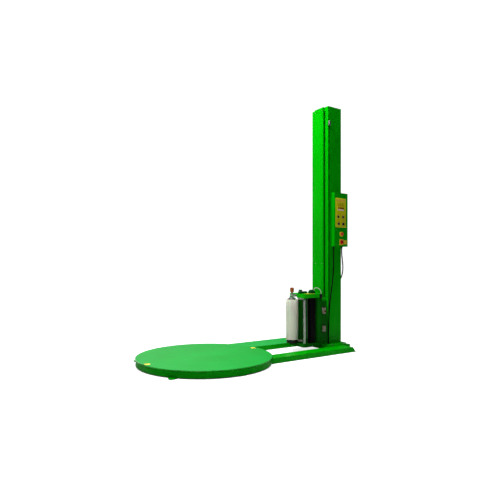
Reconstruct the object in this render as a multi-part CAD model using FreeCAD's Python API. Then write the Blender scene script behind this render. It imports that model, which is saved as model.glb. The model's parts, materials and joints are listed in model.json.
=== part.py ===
import FreeCAD, Part
import math
import os

# Turntable pallet wrapper.  Millimetres, +Z up.
# The origin is on the floor, on the turntable's axis.
# +X runs from the turntable to the mast, and -Y is the operator's side, where the control box hangs.

V = FreeCAD.Vector
UP = V(0, 0, 1)
ALONG_X = V(1, 0, 0)
ALONG_Y = V(0, 1, 0)

# ---------------------------------------------------------------- driving dimensions
# turntable
TABLE_R = 750.0
TABLE_TOP_Z = 82.0
TABLE_PLATE_T = 8.0
TABLE_EDGE_FILLET = 2.5
BASE_T = 10.0
BASE_DISC_R = 170.0
SPOKE_W = 80.0
SPOKE_ANGLES = (42.0, 88.0, 142.0, -142.0, -88.0, -34.0)
LUG_ANGLES = (142.0, -142.0)
LUG_R = 806.0
LUG_TIP_R = 28.0
ANCHOR_HOLE_R = 7.0
ANCHOR_PITCH_R = 775.0
SKIRT_INSET = 5.0
SKIRT_T = 3.0
SKIRT_TOP_GAP = 4.0
PLUG_PITCH_R = 705.0
PLUG_HOLE_R = 33.0
PLUG_ANGLES = (6.0, 187.0)

# turntable bearing and drive
POST_R = 40.0
POST_FLANGE_R = 80.0
POST_FLANGE_T = 8.0
POST_TOP_Z = 66.0
RUNNING_FIT = 0.06
HUB_NECK_R = 90.0
HUB_FLANGE_R = 130.0
HUB_FLANGE_T = 12.0
HUB_LOW_Z = 24.0
CHAIN_PITCH = 15.875
CHAIN_Z = 37.5
CHAIN_BAND = 13.0
CHAIN_PLATE_T = 2.0
CHAIN_PLATE_GAP = 8.0
CHAIN_ROLLER_R = 5.0
CHAIN_CLEAR_LINKS = 6
SPROCKET_T = 7.0
RING_TEETH = 95
DRIVE_TEETH = 17
IDLER_TEETH = 11
DRIVE_POS = (1640.0, 385.0)
IDLER_POS = (640.0, 262.0)
IDLER_PIN_R = 8.0
WHEEL_PITCH_R = 600.0
WHEEL_R = 30.0
WHEEL_W = 24.0
WHEEL_BORE_R = 8.0
WHEEL_SIDE_GAP = 1.0
BRACKET_T = 6.0

# base rails and foot
RAIL_H = 61.0
RAIL_WALL = 4.0
NEAR_RAIL_Y = (-478.0, -302.0)
FAR_RAIL_Y = (211.0, 567.0)
RAIL_END_TOP_X = 1825.0
RAIL_END_LOW_X = 1880.0
COPE_GAP = 0.3
FOOT_X = (1650.0, 1970.0)
FOOT_OVERLAP = 12.0
FOOT_PLATE_T = 10.0
FOOT_CHAMFER = 70.0
FOOT_BEAM_WALL = 6.0

# mast
MAST_X = (1720.0, 1955.0)
MAST_HALF_W = 150.0
MAST_WALL = 4.0
MAST_TOP_Z = 3126.0
MAST_OPENING_HALF = 97.0
MAST_BRIDGE_H = 50.0
MAST_COVER_HALF = 82.0
MAST_COVER_PROUD = 24.0
MAST_COVER_T = 3.0
CAP_T = 4.0
SIDE_SLOT_X = (1727.0, 1745.0)
SIDE_SLOT_Z = (300.0, 2930.0)
MAST_CORNER_R = 5.0
MAST_FLOOR_T = 8.0
GUIDE_BAR_W = 36.0
GUIDE_BAR_LOW_Z = 200.0
TOP_BEARING_L = 60.0
TOP_SHAFT_HALF = 126.0
REAR_OPENING_HALF = 110.0
REAR_OPENING_Z = (120.0, 700.0)
REAR_COVER_T = 2.0

# lift drive
PULLEY_R = 45.0
PULLEY_FLANGE_R = 50.0
PULLEY_HALF_W = 24.0
PULLEY_FLANGE_T = 3.0
BELT_GAP = 0.3
BELT_T = 4.0
BELT_HALF_W = 20.0
LIFT_AXIS_X = 1850.0
LIFT_LOW_Z = 520.0
LIFT_HIGH_Z = 3050.0
LIFT_SHAFT_R = 12.5
TOP_SHAFT_R = 10.0

# carriage
CARRIAGE_X = (1290.0, 1600.0)
CARRIAGE_Y = (-175.0, 125.0)
CARRIAGE_LOW_Z = (60.0, 105.0)
CARRIAGE_HIGH_Z = (670.0, 720.0)
CARRIAGE_CORNER_R = 40.0
CARRIAGE_SHEET = 4.0
SIDE_PLATE_L = 70.0
TONGUE_HALF_W = 30.0
TONGUE_Z = (80.0, 96.0)
HOOD_X = 1528.0
HOOD_FAR_Y = 100.0
HOOD_R = 45.0
HOOD_T = 2.0
TROLLEY_PLATE_T = 6.0
ARM_T = 7.0
ARM_OUT_Y = 93.0
ARM_Z = (200.0, 665.0)
WHEELSET_R = 30.0
WHEELSET_IN_Y = 112.0
WHEELSET_OUT_Y = 137.0
WHEELSET_AXLE_R = 8.0
WHEELSET_Z = (350.0, 600.0)

# film and rollers
REEL_POS = (1245.0, 0.0)
FILM_R = 78.0
FILM_LENGTH = 500.0
FILM_LOW_Z = 148.0
CORE_R = 44.0
CORE_WALL = 6.0
CORE_PROUD = 5.0
REEL_DISC_R = 68.0
REEL_DISC_Z = (106.0, 134.0)
PLUNGER_CONE_R = 56.0
PLUNGER_NOTCH_GAP = 4.0
GREEN_ROLLER_POS = (1385.0, 0.0)
GREEN_ROLLER_R = 35.0
GREY_ROLLER_POS = (1324.0, -145.0)
GREY_ROLLER_R = 17.0
BRAKE_ROLLER_POS = (1474.0, -106.0)
BRAKE_ROLLER_R = 50.0
ROLLER_PIN_R = 8.0
ROLLER_COLLAR_R = 12.0
ROLLER_PIN_DEPTH = 12.0
ROLLERS = ((GREEN_ROLLER_POS, GREEN_ROLLER_R), (GREY_ROLLER_POS, GREY_ROLLER_R), (BRAKE_ROLLER_POS, BRAKE_ROLLER_R))
REEL_PIN_R = 10.0
PLUNGER_STEM_R = 10.0
ARM_LEVEL_Z = (698.0, 706.0)
ARM_HALF_W = 26.0
ARM_END_X = 1345.0
KNOB_LOW_Z = 732.0
KNOB_L = 65.0
KNOB_R = 25.0
TENSION_POS = (1345.0, -60.0)
TENSION_STEM_R = 6.0
JUNCTION_X = 1610.0
JUNCTION_HALF_W = 22.0
JUNCTION_Z = (274.0, 501.0)

# control box
BOX_X = (1770.0, 2005.0)
BOX_Y = (-215.0, -150.3)
BOX_Z = (1320.0, 2012.0)
BOX_WALL = 2.0
COVER_SEAM_Z = 1555.0
COVER_T = 2.0

# drive cover
DRIVE_COVER_X = (1570.0, 1800.0)
DRIVE_COVER_Y = (300.0, 470.0)
DRIVE_COVER_TOP_Z = 430.0
DRIVE_COVER_WALL = 2.0
MOTOR_SHAFT_R = 12.5
MOTOR_BODY_Z = 71.0

# cables
CABLE_D = 15.0
BRAKE_CABLE_D = 6.0
GLAND_L = 24.0
MOTOR_CABLE = ((1790, -180, 1296), (1790, -180, 1222), (1786, -184, 1096), (1776, -187, 975), (1760, -188, 856),
               (1740, -187, 740), (1721, -186, 624), (1706, -187, 504), (1697, -188, 384), (1693, -187, 268),
               (1697, -182, 168), (1697, -182, 95))
MAST_CABLE = ((1932, -182, 1296), (1932, -182, 1215), (1947, -185, 1120), (1970, -168, 1035), (1988, -140, 965),
              (1994, -108, 905), (1985, -82, 855), (1974, -70, 824), (1974, -70, 796))
BRAKE_CABLE = ((1517, -100, 746), (1517, -100, 768), (1524, -116, 789), (1540, -148, 792), (1554, -174, 772),
               (1560, -189, 748), (1560, -189, 720))

# operating elements: x, z and stem radius on the control box's covers
SELECTOR_LEFT = (1832.0, 1701.0, 6.0)
SELECTOR_RIGHT = (1919.0, 1701.0, 6.0)
DIAL_LEFT = (1839.0, 1611.0, 5.0)
DIAL_RIGHT = (1921.0, 1611.0, 5.0)
ESTOP = (1889.0, 1480.0, 11.0)
ESTOP_R = 24.0
ESTOP_TRAVEL = 6.0
COLLAR_R = 32.0
COLLAR_T = 10.0
MAIN_SWITCH = (1893.0, 1377.0, 8.0)
SWITCH_PLATE = 75.0
DISPLAY = (1826.0, 1934.0, 1779.0, 1831.0)
BEZEL_R = 18.0
BEZEL_T = 3.0

# ---------------------------------------------------------------- worked-out places
PLATE_LOW_Z = TABLE_TOP_Z - TABLE_PLATE_T
SKIRT_R = TABLE_R - SKIRT_INSET
SKIRT_Z = (BASE_T, PLATE_LOW_Z - SKIRT_TOP_GAP)
HUB_TOP_Z = PLATE_LOW_Z
WHEEL_Z = PLATE_LOW_Z - WHEEL_R
FOOT_Z = (RAIL_H, RAIL_H + FOOT_PLATE_T)
MAST_LOW_Z = FOOT_Z[1]
COVER_FACE_X = MAST_X[0] - MAST_COVER_PROUD
BELT_FRONT_X = (LIFT_AXIS_X - PULLEY_R - BELT_GAP - BELT_T, LIFT_AXIS_X - PULLEY_R - BELT_GAP)
GUIDE_GAP = 0.5
WHEELSET_X = MAST_X[0] + MAST_WALL + GUIDE_GAP + WHEELSET_R
GUIDE_BAR_X = (WHEELSET_X + WHEELSET_R + GUIDE_GAP, WHEELSET_X + WHEELSET_R + GUIDE_GAP + 5.0)


# ---------------------------------------------------------------- shape helpers
def block(x0, x1, y0, y1, z0, z1):
    """Rectangular block between two corners."""
    return Part.makeBox(x1 - x0, y1 - y0, z1 - z0, V(x0, y0, z0))


def rod(radius, start, length, axis=UP):
    """Round rod from a start point along an axis."""
    return Part.makeCylinder(radius, length, V(*start), axis)


def tube(outer, inner, start, length, axis=UP):
    """Round tube from a start point along an axis."""
    return rod(outer, start, length, axis).cut(rod(inner, start, length, axis))


def join(*shapes):
    """One solid out of pieces that touch or overlap."""
    body = shapes[0]
    for shape in shapes[1:]:
        body = body.fuse(shape)
    return body.removeSplitter()


def group(shapes):
    """Several separate solids kept in one node."""
    return Part.makeCompound(list(shapes))


def turned(shape, degrees, centre=(0, 0, 0), axis=UP):
    """Copy of a shape turned about an axis."""
    copy = shape.copy()
    copy.rotate(V(*centre), axis, degrees)
    return copy


def moved(shape, x, y, z):
    """Copy of a shape moved by an offset."""
    copy = shape.copy()
    copy.translate(V(x, y, z))
    return copy


def parted(shape, regions):
    """Plain plates out of a folded or welded sheet part: the share of it in each box."""
    plates = []
    for region in regions:
        plates.extend(shape.common(block(*region)).Solids)
    return plates


def prism(points, direction):
    """Solid swept from a closed polygon of points."""
    corners = [V(*point) for point in points]
    face = Part.Face(Part.makePolygon(corners + [corners[0]]))
    return face.extrude(V(*direction))


def polar(radius, degrees):
    """Point on a circle about the turntable's axis."""
    angle = math.radians(degrees)
    return radius * math.cos(angle), radius * math.sin(angle)


def vertical_edges(shape, x0, x1, y0, y1):
    """Vertical edges of a shape that lie inside a plan rectangle."""
    found = []
    for edge in shape.Edges:
        box = edge.BoundBox
        upright = box.ZLength > 1.0 and box.XLength < 0.01 and box.YLength < 0.01
        inside = x0 <= box.Center.x <= x1 and y0 <= box.Center.y <= y1
        if upright and inside:
            found.append(edge)
    return found


def rounded_block(x0, x1, y0, y1, z0, z1, radius, corners="all"):
    """Block with round vertical corners: all four, or those at the low-X side."""
    solid = block(x0, x1, y0, y1, z0, z1)
    limit = x0 + 0.1 if corners == "low_x" else x1 + 0.1
    edges = vertical_edges(solid, x0 - 0.1, limit, y0 - 0.1, y1 + 0.1)
    return solid.makeFillet(radius, edges)


def hex_head(radius, height, start, axis=UP):
    """Hexagonal bolt head or nut, given across corners."""
    corners = []
    for index in range(7):
        angle = math.radians(60 * index)
        corners.append(V(radius * math.cos(angle), radius * math.sin(angle), 0))
    solid = Part.Face(Part.makePolygon(corners)).extrude(V(0, 0, height))
    solid.Placement = FreeCAD.Placement(V(*start), FreeCAD.Rotation(UP, axis))
    return solid


def bent_tube(points, diameter, name):
    """Cable solid: straight runs joined by tangent arcs, each as large as its two runs allow."""
    corners = [V(*point) for point in points]
    edges = []
    radii = []
    last = corners[0]
    for before, corner, after in zip(corners, corners[1:], corners[2:]):
        into = corner - before
        out = after - corner
        shorter = min(into.Length, out.Length)
        turn = into.getAngle(out)
        radius = 0.45 * shorter / math.tan(turn / 2)
        radii.append(radius)
        into.normalize()
        out.normalize()
        start = corner - into * (0.45 * shorter)
        end = corner + out * (0.45 * shorter)
        bisector = out - into
        bisector.normalize()
        reach = radius / math.cos(turn / 2)
        middle = corner + bisector * (reach - radius)
        edges.append(Part.LineSegment(last, start).toShape())
        edges.append(Part.Arc(start, middle, end).toShape())
        last = end
    edges.append(Part.LineSegment(last, corners[-1]).toShape())
    path = Part.Wire(edges)
    direction = corners[1] - corners[0]
    circle = Part.Circle(corners[0], direction, diameter / 2).toShape()
    solid = path.makePipeShell([Part.Wire([circle])], True, True)
    expected = math.pi * diameter**2 / 4 * path.Length
    print(name, "length", round(path.Length), "radii", [round(r) for r in radii])
    print(name, "volume ratio", round(solid.Volume / expected, 4))
    return solid


PARTS = {}


def keep(name, shape):
    """Write one node's solids to its own file."""
    for solid in shape.Solids:
        if not solid.isValid():
            print("not valid:", name)
    PARTS[name] = shape
    shape.exportStep("parts/" + name + ".step")


# ---------------------------------------------------------------- base
def spoke(degrees, length):
    """Flat base spoke from the centre outwards."""
    return turned(block(0, length, -SPOKE_W / 2, SPOKE_W / 2, 0, BASE_T), degrees)


def lug(degrees):
    """Pointed lug outside the skirt with its floor-anchor hole."""
    root = SKIRT_R - 40
    outline = [(root, -SPOKE_W / 2, 0), (LUG_R - 34, -SPOKE_W / 2, 0), (LUG_R, -LUG_TIP_R / 2, 0),
               (LUG_R, LUG_TIP_R / 2, 0), (LUG_R - 34, SPOKE_W / 2, 0), (root, SPOKE_W / 2, 0)]
    plate = prism(outline, (0, 0, BASE_T))
    hole = rod(ANCHOR_HOLE_R, (ANCHOR_PITCH_R, 0, -1), BASE_T + 2)
    return turned(plate.cut(hole), degrees)


def base_spider():
    """Flat plate star that carries the pivot, the wheels and the skirt."""
    shape = rod(BASE_DISC_R, (0, 0, 0), BASE_T)
    limit = rod(SKIRT_R, (0, 0, 0), BASE_T)
    for degrees in SPOKE_ANGLES:
        shape = shape.fuse(spoke(degrees, SKIRT_R + 20).common(limit))
    for degrees in LUG_ANGLES:
        shape = shape.fuse(lug(degrees))
    x, y = IDLER_POS
    reach = math.hypot(x, y)
    pad = turned(block(0, reach + 35, -30, 30, 0, BASE_T), math.degrees(math.atan2(y, x)))
    shape = shape.fuse(pad.common(limit))
    pin = rod(IDLER_PIN_R, (x, y, BASE_T), CHAIN_Z + 8 - BASE_T)
    collar = rod(IDLER_PIN_R + 6, (x, y, BASE_T), CHAIN_Z - SPROCKET_T / 2 - 1 - BASE_T)
    return shape.fuse(pin).fuse(collar).removeSplitter()


def chain_window():
    """Space the drive chain needs where it leaves the turntable's ring."""
    return block(SKIRT_R * 0.5, SKIRT_R + 20, FAR_RAIL_Y[0] + 14, FAR_RAIL_Y[1] - 30,
                 CHAIN_Z - 14, CHAIN_Z + 14)


def skirt_ring():
    """Fixed sheet ring under the rim of the plate."""
    low, high = SKIRT_Z
    ring = tube(SKIRT_R, SKIRT_R - SKIRT_T, (0, 0, low), high - low)
    return ring.cut(chain_window())


def pivot_post():
    """Upright pin with a foot flange that the turntable turns on."""
    low = BASE_T + POST_FLANGE_T
    return join(rod(POST_FLANGE_R, (0, 0, BASE_T), POST_FLANGE_T),
                rod(POST_R, (0, 0, low), POST_TOP_Z - low))


def table_plate():
    """Round deck plate with two plug holes and a softened rim."""
    plate = rod(TABLE_R, (0, 0, PLATE_LOW_Z), TABLE_PLATE_T)
    rims = [edge for edge in plate.Edges if edge.BoundBox.XLength > TABLE_R and edge.BoundBox.ZLength < 0.1]
    plate = plate.makeFillet(TABLE_EDGE_FILLET, rims)
    for degrees in PLUG_ANGLES:
        x, y = polar(PLUG_PITCH_R, degrees)
        plate = plate.cut(rod(PLUG_HOLE_R, (x, y, PLATE_LOW_Z + TABLE_PLATE_T - 3), 4))
    return plate


def table_hub():
    """Turned hub under the plate that runs on the pivot post."""
    flange_low = HUB_TOP_Z - HUB_FLANGE_T
    neck = rod(HUB_NECK_R, (0, 0, HUB_LOW_Z), flange_low - HUB_LOW_Z)
    hub = join(neck, rod(HUB_FLANGE_R, (0, 0, flange_low), HUB_FLANGE_T))
    return hub.cut(rod(POST_R + RUNNING_FIT, (0, 0, HUB_LOW_Z - 1), HUB_TOP_Z - HUB_LOW_Z + 2))


def sprocket(teeth, thickness, bore, centre, low_z):
    """Chain wheel with one tooth per pitch."""
    pitch_r = sprocket_radius(teeth)
    root_r = pitch_r - CHAIN_BAND / 2
    x, y = centre
    wheel = rod(root_r, (0, 0, 0), thickness)
    tip_r = pitch_r + 3.0
    half = CHAIN_PITCH * 0.22
    teeth_shapes = []
    tooth = prism([(root_r - 2, -half, 0), (tip_r, -half * 0.45, 0), (tip_r, half * 0.45, 0),
                   (root_r - 2, half, 0)], (0, 0, thickness))
    for index in range(teeth):
        teeth_shapes.append(turned(tooth, 360.0 * index / teeth))
    wheel = wheel.multiFuse(teeth_shapes).removeSplitter()
    wheel = wheel.cut(rod(bore, (0, 0, -1), thickness + 2))
    return moved(wheel, x, y, low_z)


def sprocket_radius(teeth):
    """Pitch radius of a chain wheel."""
    return CHAIN_PITCH / (2 * math.sin(math.pi / teeth))


def drive_ring():
    """Large chain wheel bolted round the hub's neck."""
    low = CHAIN_Z - SPROCKET_T / 2
    ring = sprocket(RING_TEETH, SPROCKET_T, HUB_NECK_R, (0, 0), low)
    for index in range(6):
        x, y = polar(165.0, 60.0 * index + 30)
        ring = ring.cut(rod(38.0, (x, y, low - 1), SPROCKET_T + 2))
    return ring


def drive_sprocket():
    """Small chain wheel and its stub on the gearmotor's shaft."""
    low = CHAIN_Z - SPROCKET_T / 2
    wheel = sprocket(DRIVE_TEETH, SPROCKET_T, MOTOR_SHAFT_R, DRIVE_POS, low)
    x, y = DRIVE_POS
    boss = tube(MOTOR_SHAFT_R + 9, MOTOR_SHAFT_R, (x, y, low - 12), 12)
    shaft = rod(MOTOR_SHAFT_R, (x, y, low - 12), MOTOR_BODY_Z + 40 - low + 12)
    return join(wheel, boss, shaft)


def idler_sprocket():
    """Chain tensioner wheel that turns on its pin."""
    low = CHAIN_Z - SPROCKET_T / 2
    return sprocket(IDLER_TEETH, SPROCKET_T, IDLER_PIN_R + RUNNING_FIT, IDLER_POS, low)


def tangent_points(first, first_r, second, second_r):
    """Touch points of the line that leaves one circle and reaches the next.

    Both radii are positive where the belt runs anticlockwise round the circle,
    and negative where it runs clockwise.
    """
    dx = second[0] - first[0]
    dy = second[1] - first[1]
    span = math.hypot(dx, dy)
    heading = math.atan2(dy, dx)
    tilt = math.asin((first_r - second_r) / span)
    normal = heading - math.pi / 2 + tilt
    start = (first[0] + first_r * math.cos(normal), first[1] + first_r * math.sin(normal))
    end = (second[0] + second_r * math.cos(normal), second[1] + second_r * math.sin(normal))
    return start, end


def loop_face(circles, z):
    """Flat face inside a closed belt line round circles taken in order."""
    spans = []
    count = len(circles)
    for index in range(count):
        first, first_r = circles[index]
        second, second_r = circles[(index + 1) % count]
        spans.append(tangent_points(first, first_r, second, second_r))
    edges = []
    for index in range(count):
        start, end = spans[index]
        edges.append(Part.LineSegment(V(start[0], start[1], z), V(end[0], end[1], z)).toShape())
        centre, radius = circles[(index + 1) % count]
        leave = spans[(index + 1) % count][0]
        a = math.atan2(end[1] - centre[1], end[0] - centre[0])
        b = math.atan2(leave[1] - centre[1], leave[0] - centre[0])
        turn = (b - a) % (2 * math.pi)
        if radius < 0:
            turn = turn - 2 * math.pi
        half = a + turn / 2
        size = abs(radius)
        middle = V(centre[0] + size * math.cos(half), centre[1] + size * math.sin(half), z)
        edges.append(Part.Arc(V(end[0], end[1], z), middle, V(leave[0], leave[1], z)).toShape())
    return Part.Face(Part.Wire(edges))


def drive_chain():
    """Roller chain round the ring and the drive wheel, pressed in by the idler.

    Two closed bands of link plates run above and below the teeth.
    Rollers join them where no tooth passes.
    """
    ring = sprocket_radius(RING_TEETH)
    drive = sprocket_radius(DRIVE_TEETH)
    idler = sprocket_radius(IDLER_TEETH)
    bands = []
    for low in (CHAIN_Z - CHAIN_PLATE_GAP / 2 - CHAIN_PLATE_T, CHAIN_Z + CHAIN_PLATE_GAP / 2):
        faces = []
        for offset in (CHAIN_BAND / 2, -CHAIN_BAND / 2):
            circles = [((0, 0), ring + offset), (IDLER_POS, -(idler - offset)), (DRIVE_POS, drive + offset)]
            faces.append(loop_face(circles, low).extrude(V(0, 0, CHAIN_PLATE_T)))
        bands.append(faces[0].cut(faces[1]))
    slack_side = tangent_points(IDLER_POS, -idler, DRIVE_POS, drive)
    tight_side = tangent_points(DRIVE_POS, drive, (0, 0), ring)
    rollers = []
    for start, end in (slack_side, tight_side):
        length = math.hypot(end[0] - start[0], end[1] - start[1])
        links = int(length / CHAIN_PITCH)
        for index in range(CHAIN_CLEAR_LINKS, links - CHAIN_CLEAR_LINKS, 6):
            share = index / links
            x = start[0] + share * (end[0] - start[0])
            y = start[1] + share * (end[1] - start[1])
            rollers.append(rod(CHAIN_ROLLER_R, (x, y, CHAIN_Z - CHAIN_PLATE_GAP / 2), CHAIN_PLATE_GAP))
    return join(bands[0], bands[1], *rollers)


def wheel_brackets():
    """Pairs of upright ears on the spokes, each pair with its wheel pin."""
    half_gap = WHEEL_W / 2 + WHEEL_SIDE_GAP
    outer = half_gap + BRACKET_T
    sets = []
    for degrees in SPOKE_ANGLES:
        ears = []
        for side in (-1, 1):
            near = WHEEL_PITCH_R + min(side * half_gap, side * outer)
            ear = block(near, near + BRACKET_T, -22, 22, BASE_T, WHEEL_Z + 14)
            ears.append(ear)
        pin = rod(WHEEL_BORE_R - RUNNING_FIT, (WHEEL_PITCH_R - outer - 4, 0, WHEEL_Z),
                  2 * outer + 8, ALONG_X)
        sets.append(turned(join(ears[0], ears[1], pin), degrees))
    return group(sets)


def support_wheel(degrees):
    """Steel-cored roller that carries the plate's rim."""
    wheel = tube(WHEEL_R, WHEEL_BORE_R, (WHEEL_PITCH_R - WHEEL_W / 2, 0, WHEEL_Z), WHEEL_W, ALONG_X)
    rims = [e for e in wheel.Edges if e.BoundBox.YLength > 1.9 * WHEEL_R and e.BoundBox.XLength < 0.1]
    return turned(wheel.makeFillet(1.5, rims), degrees)


# ---------------------------------------------------------------- rails, foot and turntable drive
def rail(y_range):
    """Inverted channel from the ring to the back of the mast, with a sloped closed end."""
    low_y, high_y = y_range
    profile = [(300, low_y, 0), (RAIL_END_LOW_X, low_y, 0), (RAIL_END_TOP_X, low_y, RAIL_H), (300, low_y, RAIL_H)]
    outer = prism(profile, (0, high_y - low_y, 0))
    wall = RAIL_WALL
    inner_profile = [(290, low_y + wall, -1), (RAIL_END_LOW_X - wall * 1.5, low_y + wall, -1),
                     (RAIL_END_TOP_X - wall * 1.4, low_y + wall, RAIL_H - wall), (290, low_y + wall, RAIL_H - wall)]
    inner = prism(inner_profile, (0, high_y - low_y - 2 * wall, 0))
    cope = rod(SKIRT_R + COPE_GAP, (0, 0, -2), RAIL_H + 4)
    return outer.cut(inner).cut(cope)


def far_rail():
    """Wide rail that holds the drive chain, open where the gearmotor's shaft comes through."""
    x, y = DRIVE_POS
    return rail(FAR_RAIL_Y).cut(rod(MOTOR_SHAFT_R + 20, (x, y, RAIL_H - RAIL_WALL - 1), RAIL_WALL + 2))


def mast_foot():
    """Cross beam between the rails with the thick plate that the mast is bolted to."""
    x0, x1 = FOOT_X
    y0 = NEAR_RAIL_Y[1]
    y1 = FAR_RAIL_Y[0]
    wall = FOOT_BEAM_WALL
    beam = block(x0, x1 - 10, y0, y1, 0, RAIL_H)
    beam = beam.cut(block(x0 + wall, x1 - 10 - wall, y0 + wall, y1 - wall, -1, RAIL_H - wall))
    outline = [(x0, y0 + FOOT_OVERLAP, RAIL_H), (x1 - FOOT_CHAMFER, y0 + FOOT_OVERLAP, RAIL_H),
               (x1, y0 + FOOT_OVERLAP + FOOT_CHAMFER, RAIL_H), (x1, y1 - FOOT_CHAMFER, RAIL_H),
               (x1 - FOOT_CHAMFER, y1 - 6, RAIL_H), (x0, y1 - 6, RAIL_H)]
    return join(beam, prism(outline, (0, 0, FOOT_PLATE_T)))


def table_gearmotor():
    """Gearbox and motor of the turntable drive, standing on the far rail."""
    x, y = DRIVE_POS
    flange = tube(58, MOTOR_SHAFT_R + RUNNING_FIT, (x, y, RAIL_H), 10)
    box = block(x - 55, x + 75, y - 55, y + 55, MOTOR_BODY_Z, MOTOR_BODY_Z + 95)
    bore = rod(MOTOR_SHAFT_R + RUNNING_FIT, (x, y, MOTOR_BODY_Z - 1), 43)
    box = box.cut(bore)
    motor = rod(55, (x + 15, y, MOTOR_BODY_Z + 95), 170)
    cowl = rod(58, (x + 15, y, MOTOR_BODY_Z + 265), 55)
    terminals = block(x + 60, x + 95, y - 30, y + 30, MOTOR_BODY_Z + 150, MOTOR_BODY_Z + 220)
    return join(flange, box, motor, cowl, terminals)


def motor_cover():
    """Five-sided sheet cover over the turntable's gearmotor."""
    x0, x1 = DRIVE_COVER_X
    y0, y1 = DRIVE_COVER_Y
    wall = DRIVE_COVER_WALL
    shell = rounded_block(x0, x1, y0, y1, RAIL_H, DRIVE_COVER_TOP_Z, 12)
    return shell.cut(block(x0 + wall, x1 - wall, y0 + wall, y1 - wall, RAIL_H - 1, DRIVE_COVER_TOP_Z - wall))


# ---------------------------------------------------------------- mast
def mast_column():
    """Column of welded plates, open down the front between its bridges, with guide bars for the trolley inside."""
    x0, x1 = MAST_X
    half = MAST_HALF_W
    wall = MAST_WALL
    inner = half - wall
    low, high = MAST_LOW_Z, MAST_TOP_Z
    front, rear = x0 + wall, x1 - wall
    slot_x0, slot_x1 = SIDE_SLOT_X
    slot_z0, slot_z1 = SIDE_SLOT_Z
    rear_z0, rear_z1 = REAR_OPENING_Z
    opening = MAST_OPENING_HALF
    outline = rounded_block(x0, x1, -half, half, low, high, MAST_CORNER_R)
    pieces = parted(outline, [
        (x0, slot_x0, -half, -inner, low, high),
        (slot_x0, slot_x1, -half, -inner, low, slot_z0),
        (slot_x0, slot_x1, -half, -inner, slot_z1, high),
        (slot_x1, x1, -half, -inner, low, high),
        (x0, x1, inner, half, low, high),
        (x0, front, -inner, -opening, low, high),
        (x0, front, opening, inner, low, high),
        (x0, front, -opening, opening, low, low + MAST_BRIDGE_H),
        (x0, front, -opening, opening, high - MAST_BRIDGE_H, high),
        (rear, x1, -inner, -REAR_OPENING_HALF, rear_z0, rear_z1),
        (rear, x1, REAR_OPENING_HALF, inner, rear_z0, rear_z1),
        (rear, x1, -inner, inner, low, rear_z0),
        (rear, x1, -inner, inner, rear_z1, high),
    ])
    for y in (-inner, inner - GUIDE_BAR_W):
        pieces.append(block(GUIDE_BAR_X[0], GUIDE_BAR_X[1], y, y + GUIDE_BAR_W, GUIDE_BAR_LOW_Z, LIFT_HIGH_Z - 60))
    pieces.append(block(front, rear, -inner, inner, low, low + MAST_FLOOR_T))
    bore = rod(TOP_SHAFT_R + RUNNING_FIT, (LIFT_AXIS_X, -TOP_SHAFT_HALF, LIFT_HIGH_Z), 2 * TOP_SHAFT_HALF, ALONG_Y)
    for y in (-inner, inner - TOP_BEARING_L):
        bearing = block(LIFT_AXIS_X - 25, LIFT_AXIS_X + 25, y, y + TOP_BEARING_L, LIFT_HIGH_Z - 14, LIFT_HIGH_Z + 14)
        pieces.append(bearing.cut(bore))
    return group(pieces)


def mast_front_cover():
    """Raised centre cover between the two arm slots: its face and its two sides."""
    half = MAST_COVER_HALF
    sheet = MAST_COVER_T
    x0, x1 = COVER_FACE_X, MAST_X[0]
    outline = rounded_block(x0, x1, -half, half, MAST_LOW_Z, MAST_TOP_Z, 6, "low_x")
    return group(parted(outline, [
        (x0, x0 + sheet, -half, half, MAST_LOW_Z, MAST_TOP_Z),
        (x0 + sheet, x1, -half, -half + sheet, MAST_LOW_Z, MAST_TOP_Z),
        (x0 + sheet, x1, half - sheet, half, MAST_LOW_Z, MAST_TOP_Z),
    ]))


def mast_top_cap():
    """Flat lid over column and cover."""
    x0 = COVER_FACE_X
    lid = block(MAST_X[0], MAST_X[1], -MAST_HALF_W, MAST_HALF_W, MAST_TOP_Z, MAST_TOP_Z + CAP_T)
    nose = block(x0, MAST_X[0], -MAST_COVER_HALF, MAST_COVER_HALF, MAST_TOP_Z, MAST_TOP_Z + CAP_T)
    return join(lid, nose)


def mast_rear_cover():
    """Flat door over the lift drive."""
    low, high = REAR_OPENING_Z
    return block(MAST_X[1], MAST_X[1] + REAR_COVER_T, -REAR_OPENING_HALF - 20, REAR_OPENING_HALF + 20,
                 low - 20, high + 20)


def limit_switches():
    """Upper switch outside the mast's corner, lower switch inside on the wall."""
    y = -MAST_HALF_W
    upper = block(1722, 1752, y - 20, y, 2880, 2940)
    lever = block(1729, 1733, y - 14, y - 8, 2872, 2880)
    roller = rod(6, (1731, y - 14, 2872), 6, ALONG_Y)
    lower = block(1790, 1815, y + MAST_WALL, y + MAST_WALL + 30, 590, 636)
    nose = block(1795, 1810, y + 8, y + 28, 636, 646)
    return group([join(upper, lever, roller), join(lower, nose)])


def lift_gearmotor():
    """Worm gearbox with the vertical lift motor under it."""
    gearbox = rounded_block(1792, 1910, 30, 146, 460, 580, 10)
    motor = rod(56, (1851, 86, 250), 210)
    fan_cowl = rod(59, (1851, 86, 180), 70)
    terminals = block(1895, 1925, 56, 116, 300, 380)
    shaft_hole = rod(LIFT_SHAFT_R + RUNNING_FIT, (LIFT_AXIS_X, 29, LIFT_LOW_Z), 90, ALONG_Y)
    return join(gearbox, motor, fan_cowl, terminals).cut(shaft_hole)


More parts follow.
